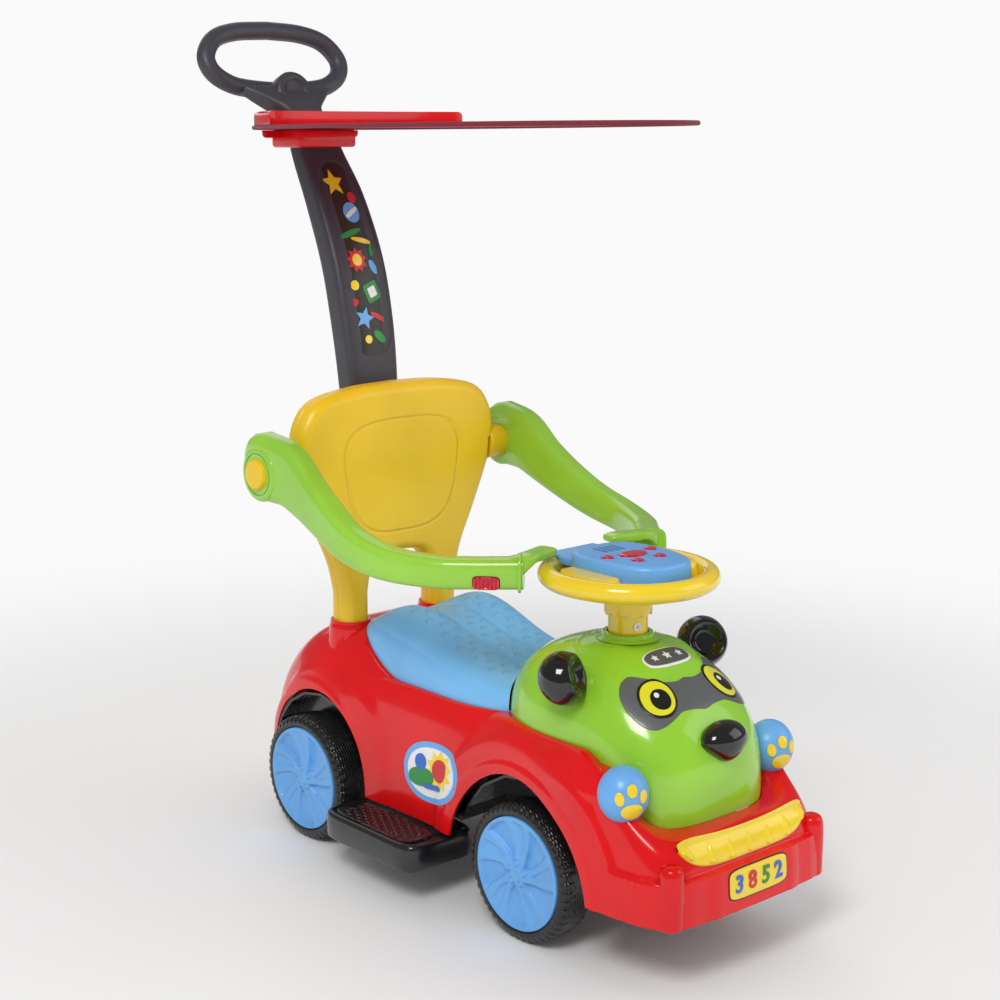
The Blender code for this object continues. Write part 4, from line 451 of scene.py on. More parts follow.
def seatMaterial():
    # blue made lighter than the other blue parts as painted light on its lit top, with rows of small
    # crescents pressed up on the top
    material, tree, shader, coordinates = mouldedPlastic("seatBluePaintedLight", (0.175, 0.490, 0.870), satin)
    across, along, up = splitAxes(tree, coordinates)
    pitch = 0.0125
    row = calc(tree, "FLOOR", calc(tree, "DIVIDE", along, pitch))
    shift = calc(tree, "MULTIPLY", calc(tree, "FLOORED_MODULO", row, 2.0), pitch * 0.75)
    cellX = calc(tree, "SUBTRACT", calc(tree, "FLOORED_MODULO", calc(tree, "ADD", across, shift),
                                        pitch * 1.5), pitch * 0.75)
    cellY = calc(tree, "SUBTRACT", calc(tree, "FLOORED_MODULO", along, pitch), pitch * 0.5)
    squared = calc(tree, "MULTIPLY", cellX, cellX)
    outer = calc(tree, "SQRT", calc(tree, "ADD", squared, calc(tree, "MULTIPLY", cellY, cellY)))
    lowered = calc(tree, "ADD", cellY, 0.0026)
    inner = calc(tree, "SQRT", calc(tree, "ADD", squared, calc(tree, "MULTIPLY", lowered, lowered)))
    disc = remap(tree, outer, 1.0, 0.0, 0.0036, 0.0046)
    bite = remap(tree, inner, 0.0, 1.0, 0.0034, 0.0046)
    zone = remap(tree, up, 0.0, 1.0, 0.236, 0.240)
    side = calc(tree, "ABSOLUTE", across)
    inBand = calc(tree, "MULTIPLY", remap(tree, side, 1.0, 0.0, 0.058, 0.062),
                  remap(tree, side, 0.0, 1.0, 0.024, 0.026))
    inMiddle = remap(tree, side, 1.0, 0.0, 0.014, 0.016)
    inZone = calc(tree, "MULTIPLY", zone, calc(tree, "ADD", inBand, inMiddle))
    crescents = calc(tree, "MULTIPLY", calc(tree, "MULTIPLY", disc, bite), inZone)
    bumpOnTop(tree, shader, crescents, 0.0013, 0.8)
    return material


def backrestMaterial():
    # warm yellow with one pressed-in rounded outline and a light grain
    material, tree, shader, coordinates = mouldedPlastic("backrestYellow", colours["yellow"], satin)
    across, along, up = splitAxes(tree, coordinates)
    wide = remap(tree, up, 0.070, 0.088, 0.36, 0.47)
    x = calc(tree, "POWER", calc(tree, "ABSOLUTE", calc(tree, "DIVIDE", across, wide)), 3.2)
    fromMiddle = calc(tree, "DIVIDE", calc(tree, "SUBTRACT", up, 0.4100), 0.0640)
    z = calc(tree, "POWER", calc(tree, "ABSOLUTE", fromMiddle), 3.2)
    ring = calc(tree, "POWER", calc(tree, "ADD", x, z), 0.3125)
    groove = remap(tree, calc(tree, "ABSOLUTE", calc(tree, "SUBTRACT", ring, 1.0)), 0.0, 1.0, 0.006, 0.040)
    bumpOnTop(tree, shader, groove, 0.0016, 0.7)
    return material


def footMaterial():
    # black tread with raised pebbles of two sizes
    material, tree, shader, coordinates = mouldedPlastic("footBlack", colours["tyre"],
            dict(glossy, roughness=0.34))
    heights = []
    for scale, edge in ((75.0, 0.42), (150.0, 0.36)):
        pebbles = addNode(tree, "ShaderNodeTexVoronoi", feature="SMOOTH_F1")
        pebbles.inputs["Scale"].default_value = scale
        pebbles.inputs["Smoothness"].default_value = 0.2
        tree.links.new(coordinates, pebbles.inputs["Vector"])
        heights.append(remap(tree, pebbles.outputs["Distance"], 1.0, 0.0, edge * 0.55, edge))
    small = calc(tree, "MULTIPLY", heights[1], 0.55)
    bumpOnTop(tree, shader, calc(tree, "MAXIMUM", heights[0], small), 0.0042, 1.0)
    return material


def tyreMaterial():
    # hard black tyre: fine wavy grooves round the tread
    material, tree, shader, coordinates = mouldedPlastic("tyreBlack", colours["tyre"],
            dict(glossy, roughness=0.30, coat=0.2))
    bands = addNode(tree, "ShaderNodeTexWave", wave_type="BANDS", bands_direction="X")
    bands.inputs["Scale"].default_value = 95.0
    bands.inputs["Distortion"].default_value = 1.6
    bands.inputs["Detail"].default_value = 1.0
    bands.inputs["Detail Scale"].default_value = 0.35
    tree.links.new(coordinates, bands.inputs["Vector"])
    bumpOnTop(tree, shader, bands.outputs["Fac"], 0.0006, 0.8)
    return material


def fabricMaterial():
    material, tree, shader = newMaterial("canopyCloth")
    coordinates = addNode(tree, "ShaderNodeTexCoord").outputs["Object"]
    shade = noiseFrom(tree, coordinates, 14.0, 3.0)
    tree.links.new(blendColour(tree, remap(tree, shade, 0, 1, 0.3, 0.7), (0.47, 0.02, 0.05),
                               (0.60, 0.04, 0.085)),
                   shader.inputs["Base Color"])
    threads = []
    for direction in ("X", "Y"):
        band = addNode(tree, "ShaderNodeTexWave", wave_type="BANDS", bands_direction=direction)
        band.inputs["Scale"].default_value = 320.0
        tree.links.new(coordinates, band.inputs["Vector"])
        threads.append(band.outputs["Fac"])
    addBump(tree, shader, calc(tree, "ADD", *threads), 0.0003, 0.6)
    shader.inputs["Roughness"].default_value = 0.78
    shader.inputs["Sheen Weight"].default_value = 0.12
    shader.inputs["Sheen Roughness"].default_value = 0.4
    return material


steel = steelMaterial()
seatBluePaintedLight = seatMaterial()
backrestYellow = backrestMaterial()
footBlack = footMaterial()
tyreBlack = tyreMaterial()
canopyCloth = fabricMaterial()
panelOlive = plastic("panelOlive", (0.022, 0.020, 0.014), dict(satin, roughness=0.33))
print("materials made")


# body shell
body = {"rear": 0.282, "front": -0.3925, "rearMiddle": -0.060, "columns": 230, "rows": 64, "wall": 0.003,
        "archRear": (0.158, 0.078, 0.093), "archFront": (-0.190, 0.055, 0.112), "archInner": 0.062,
        "ledgeDrop": 0.0065, "ledgeIn": 0.008, "collarX": 0.0637, "collarY": 0.150, "collarRadius": 0.0198}
deck = {"seatRear": 0.129, "seatFront": -0.150, "hoodRear": -0.097, "hoodFront": -0.357}


def endWidth(y, middle, end, power, width):
    return width * max(1 - min(abs((y - middle) / (end - middle)), 1.0) ** power, 0.0) ** (1 / power)


def bodyWidth(y):
    if y > body["rearMiddle"]:
        return endWidth(y, body["rearMiddle"], body["rear"], 5, 0.1075 + 0.0045 * smoothStep(y, 0.03, 0.16))
    return endWidth(y, body["rearMiddle"], body["front"], 9, 0.1075 + 0.0165 * smoothStep(-y, 0.10, 0.33))


def seatWidth(y):
    if not deck["seatFront"] <= y <= deck["seatRear"]:
        return 0.0
    return endWidth(y, 0.0, deck["seatRear"] if y > 0 else deck["seatFront"], 4.6, 0.083)


def hoodWidth(y):
    if not deck["hoodFront"] <= y <= deck["hoodRear"]:
        return 0.0
    if y > -0.228:
        return endWidth(y, -0.228, deck["hoodRear"], 2.5, 0.0955)
    return endWidth(y, -0.228, deck["hoodFront"], 3.6, 0.0955)


def deckWidth(y):
    return max(seatWidth(y), hoodWidth(y))


def seamZ(y):
    return (0.2075 + 0.0425 * smoothStep(y, 0.035, 0.140) + 0.0045 * smoothStep(-y, 0.05, 0.16)
            - 0.064 * smoothStep(-y, 0.262, 0.352))


def bodyBottomZ(y):
    return 0.073 + 0.021 * smoothStep(y, 0.20, 0.27) - 0.0005 * smoothStep(-y, 0.20, 0.33)


def halfOutline(widthAt, rear, front, count):
    # equally spaced points from the rear centre along the left side to the front centre
    middle, half = (rear + front) / 2, (rear - front) / 2
    dense = []
    for step in range(1441):
        y = middle + half * math.cos(math.pi * step / 1440)
        dense.append((widthAt(y), y))
    lengths = [0.0]
    for first, second in zip(dense, dense[1:]):
        lengths.append(lengths[-1] + math.dist(first, second))
    points, index = [], 0
    for step in range(count + 1):
        wanted = lengths[-1] * step / count
        while index < len(lengths) - 2 and lengths[index + 1] < wanted:
            index += 1
        share = (wanted - lengths[index]) / max(lengths[index + 1] - lengths[index], 1e-9)
        points.append((lerp(dense[index][0], dense[index + 1][0], share),
                       lerp(dense[index][1], dense[index + 1][1], share)))
    return points


def wholeOutline(half):
    return half + [(-x, y) for x, y in half[-2:0:-1]]


bodyHalf = wholeOutline(halfOutline(bodyWidth, body["rear"], body["front"], body["columns"]))
deckHalf = wholeOutline(halfOutline(deckWidth, deck["seatRear"], deck["hoodFront"], body["columns"]))


def fenderFlare(y, z):
    flare = 0.0
    for arch, crease in (("archRear", 0.052), ("archFront", 0.047)):
        middleY, middleZ, radius = body[arch]
        away = math.hypot(y - middleY, z - middleZ) - radius
        # a lip by the opening on a raised border that is widest towards the middle of the car
        ahead = middleY - y if arch == "archRear" else y - middleY
        lean = max(math.cos(math.atan2(z - middleZ, ahead) - (0.75 if arch == "archRear" else 1.20)), 0.0)
        if arch == "archFront":
            lean = max(lean, smoothStep(-ahead, -0.03, 0.03))
        border = crease * (0.28 + 0.72 * lean)
        lip = 1 - smoothStep(away, 0.0080, 0.0115)
        bulge = 1 - (min(max(away, 0.0), crease) / crease) ** 2
        step = 1 - smoothStep(away, border - 0.015, border)
        flare = max(flare, 0.0020 * lip + (0.0065 if arch == "archRear" else 0.0048) * step
                    + 0.0025 * bulge)
    return flare


def bodyPoint(column, row):
    rows = body["rows"]
    bx, by = bodyHalf[column % len(bodyHalf)]
    tx, ty = deckHalf[column % len(deckHalf)]
    reach = math.hypot(bx - tx, by - ty)
    outX, outY = (bx - tx) / reach, (by - ty) / reach
    nose = smoothStep(-by, 0.24, 0.37)
    tail = smoothStep(by, 0.10, 0.26)
    if row <= rows:
        angle = row / rows * math.pi / 2
        share = max(math.cos(angle), 0.0) ** (0.80 - 0.38 * nose + 0.15 * tail) if row < rows else 0.0
        rise = math.sin(angle) ** (1 - 0.10 * nose)
        low, high = bodyBottomZ(by), seamZ(ty)
        z = low + (high - low) * rise
        distance = reach * share
        y = ty + outY * distance
        band = smoothStep(-by, 0.285, 0.300) * (1 - smoothStep(z - low, 0.0430, 0.0450))
        middle = smoothStep(0.062 - abs(bx), 0.0, 0.006) * smoothStep(-by, 0.37, 0.388)
        swell = max(fenderFlare(y, z), (0.0066 + 0.0020 * middle) * band) * min(1.0, share * 4)
        rib = 0.0
        if by < -0.386 and band > 0.5:
            rib = 0.0011 * math.exp(-((abs(bx) - 0.0475) / 0.0016) ** 2)
            rib += 0.0011 * math.exp(-((abs(bx) - 0.0800) / 0.0016) ** 2)
        distance += swell + rib
        x, y = tx + outX * distance, ty + outY * distance
        # the fender swells round the headlight
        shape = ((y + 0.276) / 0.046) ** 2 + ((z - 0.172) / 0.030) ** 2 + ((abs(x) - 0.100) / 0.034) ** 2
        housing = 0.013 * math.exp(-shape)
        return Vector((x + math.copysign(housing * 0.75, x), y - housing * 0.15, z + housing * 0.55))
    if row == rows + 1:
        return Vector((tx - outX * 0.0006, ty - outY * 0.0006, seamZ(ty) - 0.0012))
    if row == rows + 2:
        return Vector((tx - outX * 0.0008, ty - outY * 0.0008, seamZ(ty) - body["ledgeDrop"]))
    return Vector((tx - outX * body["ledgeIn"], ty - outY * body["ledgeIn"],
                   seamZ(ty - outY * body["ledgeIn"]) - body["ledgeDrop"]))


bodyRowCount = body["rows"] + 3
columnCount = len(bodyHalf)
redBody = gridPiece("red_body", columnCount, bodyRowCount,
                    lambda u, v: bodyPoint(round(u * columnCount), round(v * bodyRowCount)))
thicken(redBody, body["wall"])


sideways = (0, math.pi / 2, 0)
for side in (-1, 1):
    for arch in ("archRear", "archFront"):
        archY, archZ, archRadius = body[arch]
        cutBy(redBody, cylinderPiece(archRadius, 0.10, (side * (body["archInner"] + 0.05), archY, archZ),
                                     sideways, 160))


def openTube(name, radiusIn, profileOut, centre):
    # a collar: outer profile of (radius, z), straight bore
    low, high = profileOut[0][1], profileOut[-1][1]
    profile = filletProfile([(radiusIn, low)] + profileOut + [(radiusIn, high), (radiusIn, low)], 0.0007)
    return turnedPiece(name, profile, Matrix.Translation(Vector(centre)), 72)


collars, posts = [], []
for side in (-1, 1):
    centre = (side * body["collarX"], body["collarY"], 0)
    hole = cylinderPiece(body["collarRadius"] + 0.001, 0.08, (centre[0], centre[1], 0.24), vertices=72)
    cutBy(redBody, hole)
    outside = [(body["collarRadius"] + 0.0048, 0.2190), (body["collarRadius"] + 0.0042, 0.2430),
               (body["collarRadius"] + 0.0028, 0.2480), (body["collarRadius"] + 0.0026, 0.2507)]
    collars.append(openTube("collar", body["collarRadius"], outside, centre))
    postProfile = [(0.0, 0.0705), (0.0126, 0.0705), (0.0126, 0.112), (0.0119, 0.1245), (0.0098, 0.1300),
                   (0.0060, 0.1325), (0.0, 0.1330)]
    posts.append(turnedPiece("post", filletProfile(postProfile, 0.003),
                             Matrix.Translation(Vector((side * 0.1005, -0.3830, 0))), 64))
# the red housings that the headlights sit in
pods = [ellipsoidPiece("pod", (side * 0.0985, -0.2790, 0.1775), (0.0270, 0.0480, 0.0262), 96)
        for side in (-1, 1)]
for extra in collars + posts:
    cutBy(redBody, extra, "UNION")
redBody = joined("red_body", [redBody] + pods)
finishPiece(redBody, redPlastic, "chassis", ["body_shell"], 42)
print("body:", len(redBody.data.polygons))


# bear hood
hood = {"rows": 46, "columns": 150, "crown": 0.299, "inset": 0.0009, "wall": 0.0030, "capHalf": 0.052,
        "capRear": -0.188, "capFront": -0.293, "capRise": 0.0026}
hoodOutline = wholeOutline(halfOutline(hoodWidth, deck["hoodRear"], deck["hoodFront"], hood["columns"]))


def hoodPoint(column, share):
    ox, oy = hoodOutline[column % len(hoodOutline)]
    toCentre = Vector((0 - ox, -0.223 - oy, 0)).normalized()
    angle = share * math.pi / 2 * 0.955
    front = smoothStep(-oy, 0.25, 0.34)
    # the brow leans back over the snout
    scale = math.cos(angle) ** (0.70 - 0.15 * front + 0.36 * front * smoothStep(share, 0.25, 0.72))
    low = seamZ(oy)
    x = ox * scale + toCentre.x * hood["inset"]
    y = -0.223 + (oy + 0.223) * scale + toCentre.y * hood["inset"]
    z = low + (hood["crown"] - low - hood["inset"]) * math.sin(angle)
    y -= 0.008 * math.exp(-(x / 0.055) ** 2 - ((z - 0.205) / 0.034) ** 2 - ((y + 0.335) / 0.050) ** 2)
    # the flat cap round the sleeve, one small step above the dome
    edge = max(abs(x) / hood["capHalf"], abs((y - (hood["capRear"] + hood["capFront"]) / 2)
                                             / ((hood["capRear"] - hood["capFront"]) / 2)))
    squareness = (abs(x / hood["capHalf"]) ** 4 + abs((y + 0.2405) / 0.0525) ** 4) ** 0.25
    if edge < 2:
        z += hood["capRise"] * (1 - smoothStep(squareness, 0.96, 1.03)) - 0.0009
    # brow dimples over the eyes
    z -= 0.0018 * math.exp(-((abs(x) - 0.072) / 0.016) ** 2 - ((y + 0.262) / 0.018) ** 2)
    return Vector((x, y, z))


def hoodPlace(u, v):
    column = round(u * len(hoodOutline))
    row = round(v * (hood["rows"] + 5))
    if row <= hood["rows"]:
        return hoodPoint(column, row / hood["rows"])
    angle = math.atan2(hoodOutline[column % len(hoodOutline)][1] + 0.223,
                       hoodOutline[column % len(hoodOutline)][0])
    radius, z = ((0.0330, 0.2985), (0.0285, 0.2995), (0.0262, 0.3005), (0.0252, 0.3040),
                 (0.0212, 0.3045))[row - hood["rows"] - 1]
    return Vector((radius * math.cos(angle), -0.223 + radius * math.sin(angle), z))


greenHood = gridPiece("green_hood", len(hoodOutline), hood["rows"] + 5, hoodPlace)
thicken(greenHood, hood["wall"])
finishPiece(greenHood, greenPlastic, "chassis", ["hood_head"], 40)
print("hood:", len(greenHood.data.polygons))


# face
def onHood(x, z, lift):
    # the hood's front surface at this x and height
    hit, place, normal, index = greenHood.ray_cast(Vector((x, -0.6, z)), Vector((0, 1, 0)))
    return place + normal * lift if hit else Vector((x, 0, z))


def platePiece(name, outline, middle, rows, lifts, onSurface, material, first=1.8, least=0.001):
    # a thin shape laid on a surface: a sunk edge, a rim, then rows that shrink to the middle
    count = len(outline)
    shares = [1.0, 1.0] + [max(1 - (row - first) / (rows - first), least) for row in range(2, rows + 1)]

    def placeAt(u, v):
        a, b = outline[round(u * count) % count]
        row = round(v * rows)
        return onSurface(lerp(middle[0], a, shares[row]), lerp(middle[1], b, shares[row]),
                         lifts[min(row, 2)])
    return finishShape(gridPiece(name, count, rows, placeAt), material)


def ovalOutline(cx, cz, halfX, halfZ, power=1.0, count=64, tilt=0.0):
    points = []
    for step in range(count):
        c, s = roundedCorner(2 * math.pi * step / count, power)
        x, z = c * halfX, s * halfZ
        points.append((cx + x * math.cos(tilt) - z * math.sin(tilt),
                       cz + x * math.sin(tilt) + z * math.cos(tilt)))
    return points


maskTop = [(0.0124, 0.274), (0.0298, 0.2755), (0.0434, 0.279), (0.0533, 0.280), (0.0636, 0.276),
           (0.0715, 0.2695), (0.0765, 0.262)]
maskLow = [(0.078, 0.253), (0.0748, 0.244), (0.0676, 0.2410), (0.058, 0.243), (0.043, 0.2512),
           (0.031, 0.2550), (0.0148, 0.2550)]
maskRight = [(x * 0.95, z - 0.0020 - 0.0020 * (z < 0.258 and x < 0.05)) for x, z in maskTop + maskLow]
maskOutline = closedCurve(maskRight + [(0.0, 0.2490)] + [(-x, z) for x, z in reversed(maskRight)]
                          + [(0.0, 0.2732)])
platePiece("face_mask", maskOutline, (0.0, 0.2640), 48, (-0.0010, 0.00022, 0.0004), onHood, maskPaint, 1.65)


def onBrow(place, side):
    # a plane that faces forwards and up at this place, laid back onto the hood
    outward = Vector((side * 0.22, -0.60, 0.77)).normalized()
    across = Vector((0, 0, 1)).cross(outward).normalized() * -1
    if across.x < 0:
        across = -across
    upright = outward.cross(across)
    if upright.z < 0:
        upright = -upright

    def onSurface(a, b, lift):
        start = place + across * a + upright * b + outward * 0.04
        hit, found, normal, index = greenHood.ray_cast(start, -outward)
        return (found if hit else start - outward * 0.04) + outward * lift
    return onSurface


eyes = {"x": 0.0440, "z": 0.2630, "halfX": 0.0170, "halfZ": 0.0200}
for side, label in ((-1, "right"), (1, "left")):
    ex, ez = side * eyes["x"], eyes["z"]
    layers = [("eye_rim_", 1.14, 1.14, 0, 0, 0.0009, blackPaint),
              ("eye_iris_", 1.0, 1.0, 0, 0, 0.0013, eyeYellow),
              ("eye_pupil_", 0.60, 0.60, 0.0020, -0.0024, 0.0017, blackPaint),
              ("eye_glint_", 0.15, 0.15, -0.0010, 0.0024, 0.0021, whitePaint)]
    for label2, shareX, shareZ, shiftX, shiftZ, lift, paint in layers:
        outline = ovalOutline(shiftX, shiftZ, eyes["halfX"] * shareX, eyes["halfZ"] * shareZ, 0.96)
        platePiece(label2 + label, outline, (shiftX, shiftZ), 16, (-0.0008, lift * 0.6, lift),
                   onBrow(onHood(ex, ez, 0.0), side), paint)

ear = {"centre": (0.0985, -0.234, 0.2765), "radii": (0.027, 0.0245, 0.027)}
for side, label in ((1, "left"), (-1, "right")):
    turn = (Matrix.Translation(Vector((side * ear["centre"][0], ear["centre"][1], ear["centre"][2])))
            @ Matrix.Rotation(math.radians(-28 * side), 4, "Z")
            @ Matrix.Rotation(math.radians(-18), 4, "X"))
    oneEar = ballPiece("bear_ear_" + label, 72, 40)
    oneEar.scale = ear["radii"]
    placeInMesh(oneEar)
    for point in oneEar.data.vertices:
        x, y, z = point.co
        # a flatter front with a rolled rim and a shallow dish
        across = math.hypot(x, z) / ear["radii"][0]
        if y < 0:
            rim = 0.0022 * math.exp(-((across - 0.80) / 0.10) ** 2)
            dish = 0.0118 * (1 - smoothStep(across, 0.30, 0.76))
            point.co.y = y * 0.86 - rim + dish
    oneEar.data.transform(turn)
    finishPiece(oneEar, blackGloss, "chassis", ["ear_" + label], 60)

# rounded triangle nose, wide at the top
nose = {"centre": (0.0, -0.354, 0.2230), "radii": (0.0282, 0.0185, 0.0200), "tilt": -12}
bearNose = ballPiece("bear_nose", 80, 48)
for point in bearNose.data.vertices:
    x, y, z = point.co
    narrow = 1 - 0.36 * smoothStep(-z, -0.15, 0.95)
    point.co = (x * narrow * nose["radii"][0], y * nose["radii"][1] * (1 + 0.05 * z), z * nose["radii"][2])
bearNose.data.transform(Matrix.Translation(Vector(nose["centre"]))
                        @ Matrix.Rotation(math.radians(nose["tilt"]), 4, "X"))
finishPiece(bearNose, blackGloss, "chassis", ["nose"], 60)

# blue headlights with a yellow paw on the front
lamp = {"centre": (0.1045, -0.323, 0.186), "radii": (0.0248, 0.0241, 0.0273)}


def pawPad(name, centre, radii, direction, along, upward, halfWide, halfHigh, thickness, material,
           tilt=0.0):
    # an oval pad lying on an ellipsoid: cast from outside along -direction
    direction = Vector(direction).normalized()
    right = direction.cross(Vector((0, 0, 1))).normalized() * -1
    up = right.cross(direction).normalized() * -1
    if up.z < 0:
        up = -up
    centre = Vector(centre)
    radii = Vector(radii)
    count = 40

    def surface(a, b, lift):
        start = direction + right * a + up * b
        ray = start.normalized()
        scale = 1 / math.sqrt(sum((ray[i] / radii[i]) ** 2 for i in range(3)))
        return centre + ray * (scale + lift)

    def placeAt(u, v):
        angle = 2 * math.pi * u
        row = round(v * 9)
        share = [1.0, 1.0, 0.99, 0.95, 0.86, 0.72, 0.54, 0.36, 0.18, 0.0001][row]
        lift = [-0.0015, 0.0002, 0.65, 0.88, 0.98, 1.0, 1.0, 1.0, 1.0, 1.0][row]
        lift = lift if row < 2 else lift * thickness
        c, s = math.cos(angle) * halfWide, math.sin(angle) * halfHigh
        a = along + (c * math.cos(tilt) - s * math.sin(tilt)) * share
        b = upward + (c * math.sin(tilt) + s * math.cos(tilt)) * share
        return surface(a, b, lift)
    pad = gridPiece(name, count, 9, placeAt)
    return finishPiece(pad, material, "chassis", (), 60)


for side, label in ((1, "left"), (-1, "right")):
    centre = (side * lamp["centre"][0], lamp["centre"][1], lamp["centre"][2])
    light = ellipsoidPiece("paw_light_" + label, centre, lamp["radii"], 96)
    finishPiece(light, bluePlastic, "chassis", ["headlight_" + label], 60)
    face = (-0.40, -0.91, -0.04) if side < 0 else (-0.26, -0.96, -0.04)
    pawPad("paw_palm_" + label, centre, lamp["radii"], face, 0.02, -0.44, 0.52, 0.40, 0.0014, lemonPlastic)
    for index, (a, b, tilt) in enumerate(((-0.60, 0.22, 0.4), (0.0, 0.56, 0.0), (0.60, 0.24, -0.4))):
        pawPad("paw_toe_%s_%d" % (label, index + 1), centre, lamp["radii"], face, a, b, 0.24, 0.34, 0.0014,
               lemonPlastic, tilt)

# yellow grille with seven teardrop ribs
grille = {"half": 0.088, "top": 0.1475, "bottom": 0.120, "proud": 0.0035, "ribs": 7}


def onBody(x, z, lift, straight=False):
    hit, place, normal, index = redBody.ray_cast(Vector((x, -0.6, z)), Vector((0, 1, 0)))
    if not hit:
        return Vector((x, -0.38, z))
    return place + (Vector((0, -1, 0)) if straight else normal) * lift


def grilleEdge(s):
    x = grille["half"] * s
    high = grille["top"] + 0.0065 * s * s
    low = grille["bottom"] + 0.011 * s ** 4
    return x, low, high


def onFront(x, z, amount):
    # the top of the grille stands straight up in front of the seam
    place = onBody(x, min(z, 0.1425), amount)
    return Vector((place.x, place.y, place.z + max(z - 0.1425, 0.0)))


def grillePlace(u, v):
    # u runs along the grille, v goes over the front from the lower to the upper edge
    s = (2 * u - 1) * 0.995
    x, low, high = grilleEdge(s)
    row = round(v * 46)
    if row == 0:
        level, amount = -1.0, -0.002
    elif row == 46:
        level, amount = 1.0, -0.004
    else:
        level = -math.cos(math.pi * (row - 1) / 44)
        amount = grille["proud"] * (1 - abs(level) ** 7) ** 0.5
    middle, half = (low + high) / 2, (high - low) / 2 * (1 - abs(s) ** 9) ** 0.5
    z = middle + half * level
    # seven teardrop ribs, round at the foot and pointed above
    spread = s * 0.94 * grille["ribs"] / 2 + grille["ribs"] / 2
    local = spread - math.floor(spread) - 0.5
    t = (level + 0.80) / 1.20
    if 0 < t < 1:
        width = 0.21 * math.sin(math.pi * t ** 0.62) ** 0.8 * (1.15 - 0.75 * t)
        amount += 0.0022 * smoothStep(width - abs(local), -0.03, 0.10)
    return onFront(x, z, amount)


grillePiece = gridPiece("bear_grille", 330, 46, grillePlace)
finishPiece(grillePiece, lemonPlastic, "chassis", ["grille"], 50)

# plain number plate on the bumper
plate = {"half": 0.0420, "low": 0.0835, "high": 0.1150}


plateMiddle = (0.002, (plate["low"] + plate["high"]) / 2)
plateHalfZ = (plate["high"] - plate["low"]) / 2
for name, inset, lift, paint in (("plate_border", 0.0, 0.0007, blackPaint),
                                 ("plate_field", 0.0012, 0.0011, lemonPlastic)):
    outline = ovalOutline(*plateMiddle, plate["half"] - inset, plateHalfZ - inset, 0.34, 72)
    platePiece(name, outline, plateMiddle, 5, (-0.001, lift * 0.7, lift),
               lambda x, z, lift: onBody(x, z, lift, True), paint)


def numberPiece(name, text, size, x, z, material, lift, turn=0.0):
    deselectAll()
    bpy.ops.object.text_add(location=(0, 0, 0))
    letters = bpy.context.object
    letters.data.body = text
    letters.data.align_x = "CENTER"
    letters.data.align_y = "CENTER"
    letters.data.size = size
    letters.data.extrude = 0.0006
    letters.data.offset = 0.0006
    makeActive(letters)
    bpy.ops.object.convert(target="MESH")
    piece = bpy.context.object
    piece.name = name
    surface = onBody(x, z, 0.0, True)
    piece.data.transform(Matrix.Translation(Vector((x, surface.y - lift, z)))
                         @ Matrix.Rotation(turn, 4, "Y")
                         @ Matrix.Rotation(math.radians(90), 4, "X"))
    cleanMesh(piece)
    return finishPiece(piece, material, "chassis", (), 30)


plateGreen = plastic("plateGreen", (0.02, 0.26, 0.05), satin)
plateRed = plastic("plateRed", (0.60, 0.02, 0.03), satin)
plateBlue = plastic("plateBlue", (0.03, 0.14, 0.55), satin)
for index, (digit, x, paint, tilt) in enumerate((("3", -0.026, plateBlue, 0.06),
                                                 ("8", -0.0075, plateRed, -0.05),
                                                 ("5", 0.0115, plateGreen, 0.05),
                                                 ("2", 0.030, plateBlue, -0.06))):
    numberPiece("plate_number_%d" % (index + 1), digit, 0.024, x, plateMiddle[1] - 0.0005, paint, 0.0012,
                tilt)
print("face done")


# seat
seat = {"columns": 130, "rows": 46, "clear": 0.0009, "wall": 0.003}
seatOutline = wholeOutline(halfOutline(seatWidth, deck["seatRear"], deck["seatFront"], seat["columns"]))


def seatHeight(x, y):
    offMiddle = 0.66 + 0.34 * smoothStep(abs(x), 0.012, 0.050)
    height = 0.247 + 0.036 * math.exp(-((y - 0.050) / 0.072) ** 2) * offMiddle
    height -= 0.0030 * math.exp(-((abs(x) - 0.020) / 0.0032) ** 2)
    return height - 0.006 * smoothStep(-y, 0.04, 0.11)


def seatPlace(u, v):
    column, row = round(u * len(seatOutline)), round(v * (seat["rows"] + 1))
    ox, oy = seatOutline[column % len(seatOutline)]
    low = seamZ(oy) + 0.0006
    if row == 0:
        return Vector((ox * 0.985, 0.005 + (oy - 0.005) * 0.985, low - 0.006))
    share = max(1 - ((row - 1) / seat["rows"]) ** 1.6, 0.001)
    dome = max(1 - share ** 5, 0.0) ** 0.42
    x, y = ox * share, 0.005 + (oy - 0.005) * share
    # a crease under the rolled side edge
    crease = 0.0012 * math.exp(-((dome - 0.55) / 0.05) ** 2)
    inward = Vector((-ox, 0.005 - oy, 0)).normalized() * (crease + 0.0006)
    z = low + (max(seatHeight(x, y) - seat["clear"] + 0.0009, low + 0.004) - low) * dome
    return Vector((x + inward.x, y + inward.y, z))


blueSeat = gridPiece("saddle_seat", len(seatOutline), seat["rows"] + 1, seatPlace)
thicken(blueSeat, seat["wall"])
hoodSpace = gridPiece("hood_space", len(hoodOutline), hood["rows"],
                      lambda u, v: hoodPoint(round(u * len(hoodOutline)), v))
for point in hoodSpace.data.vertices:
    offset = Vector((point.co.x, point.co.y + 0.223, 0))
    point.co += offset.normalized() * 0.0020 if offset.length > 0.004 else Vector((0, 0, 0))
fillOpenEdges(hoodSpace)
cutBy(blueSeat, hoodSpace)
finishPiece(blueSeat, seatBluePaintedLight, "seat", ["seat_lid"], 42)
print("seat:", len(blueSeat.data.polygons))


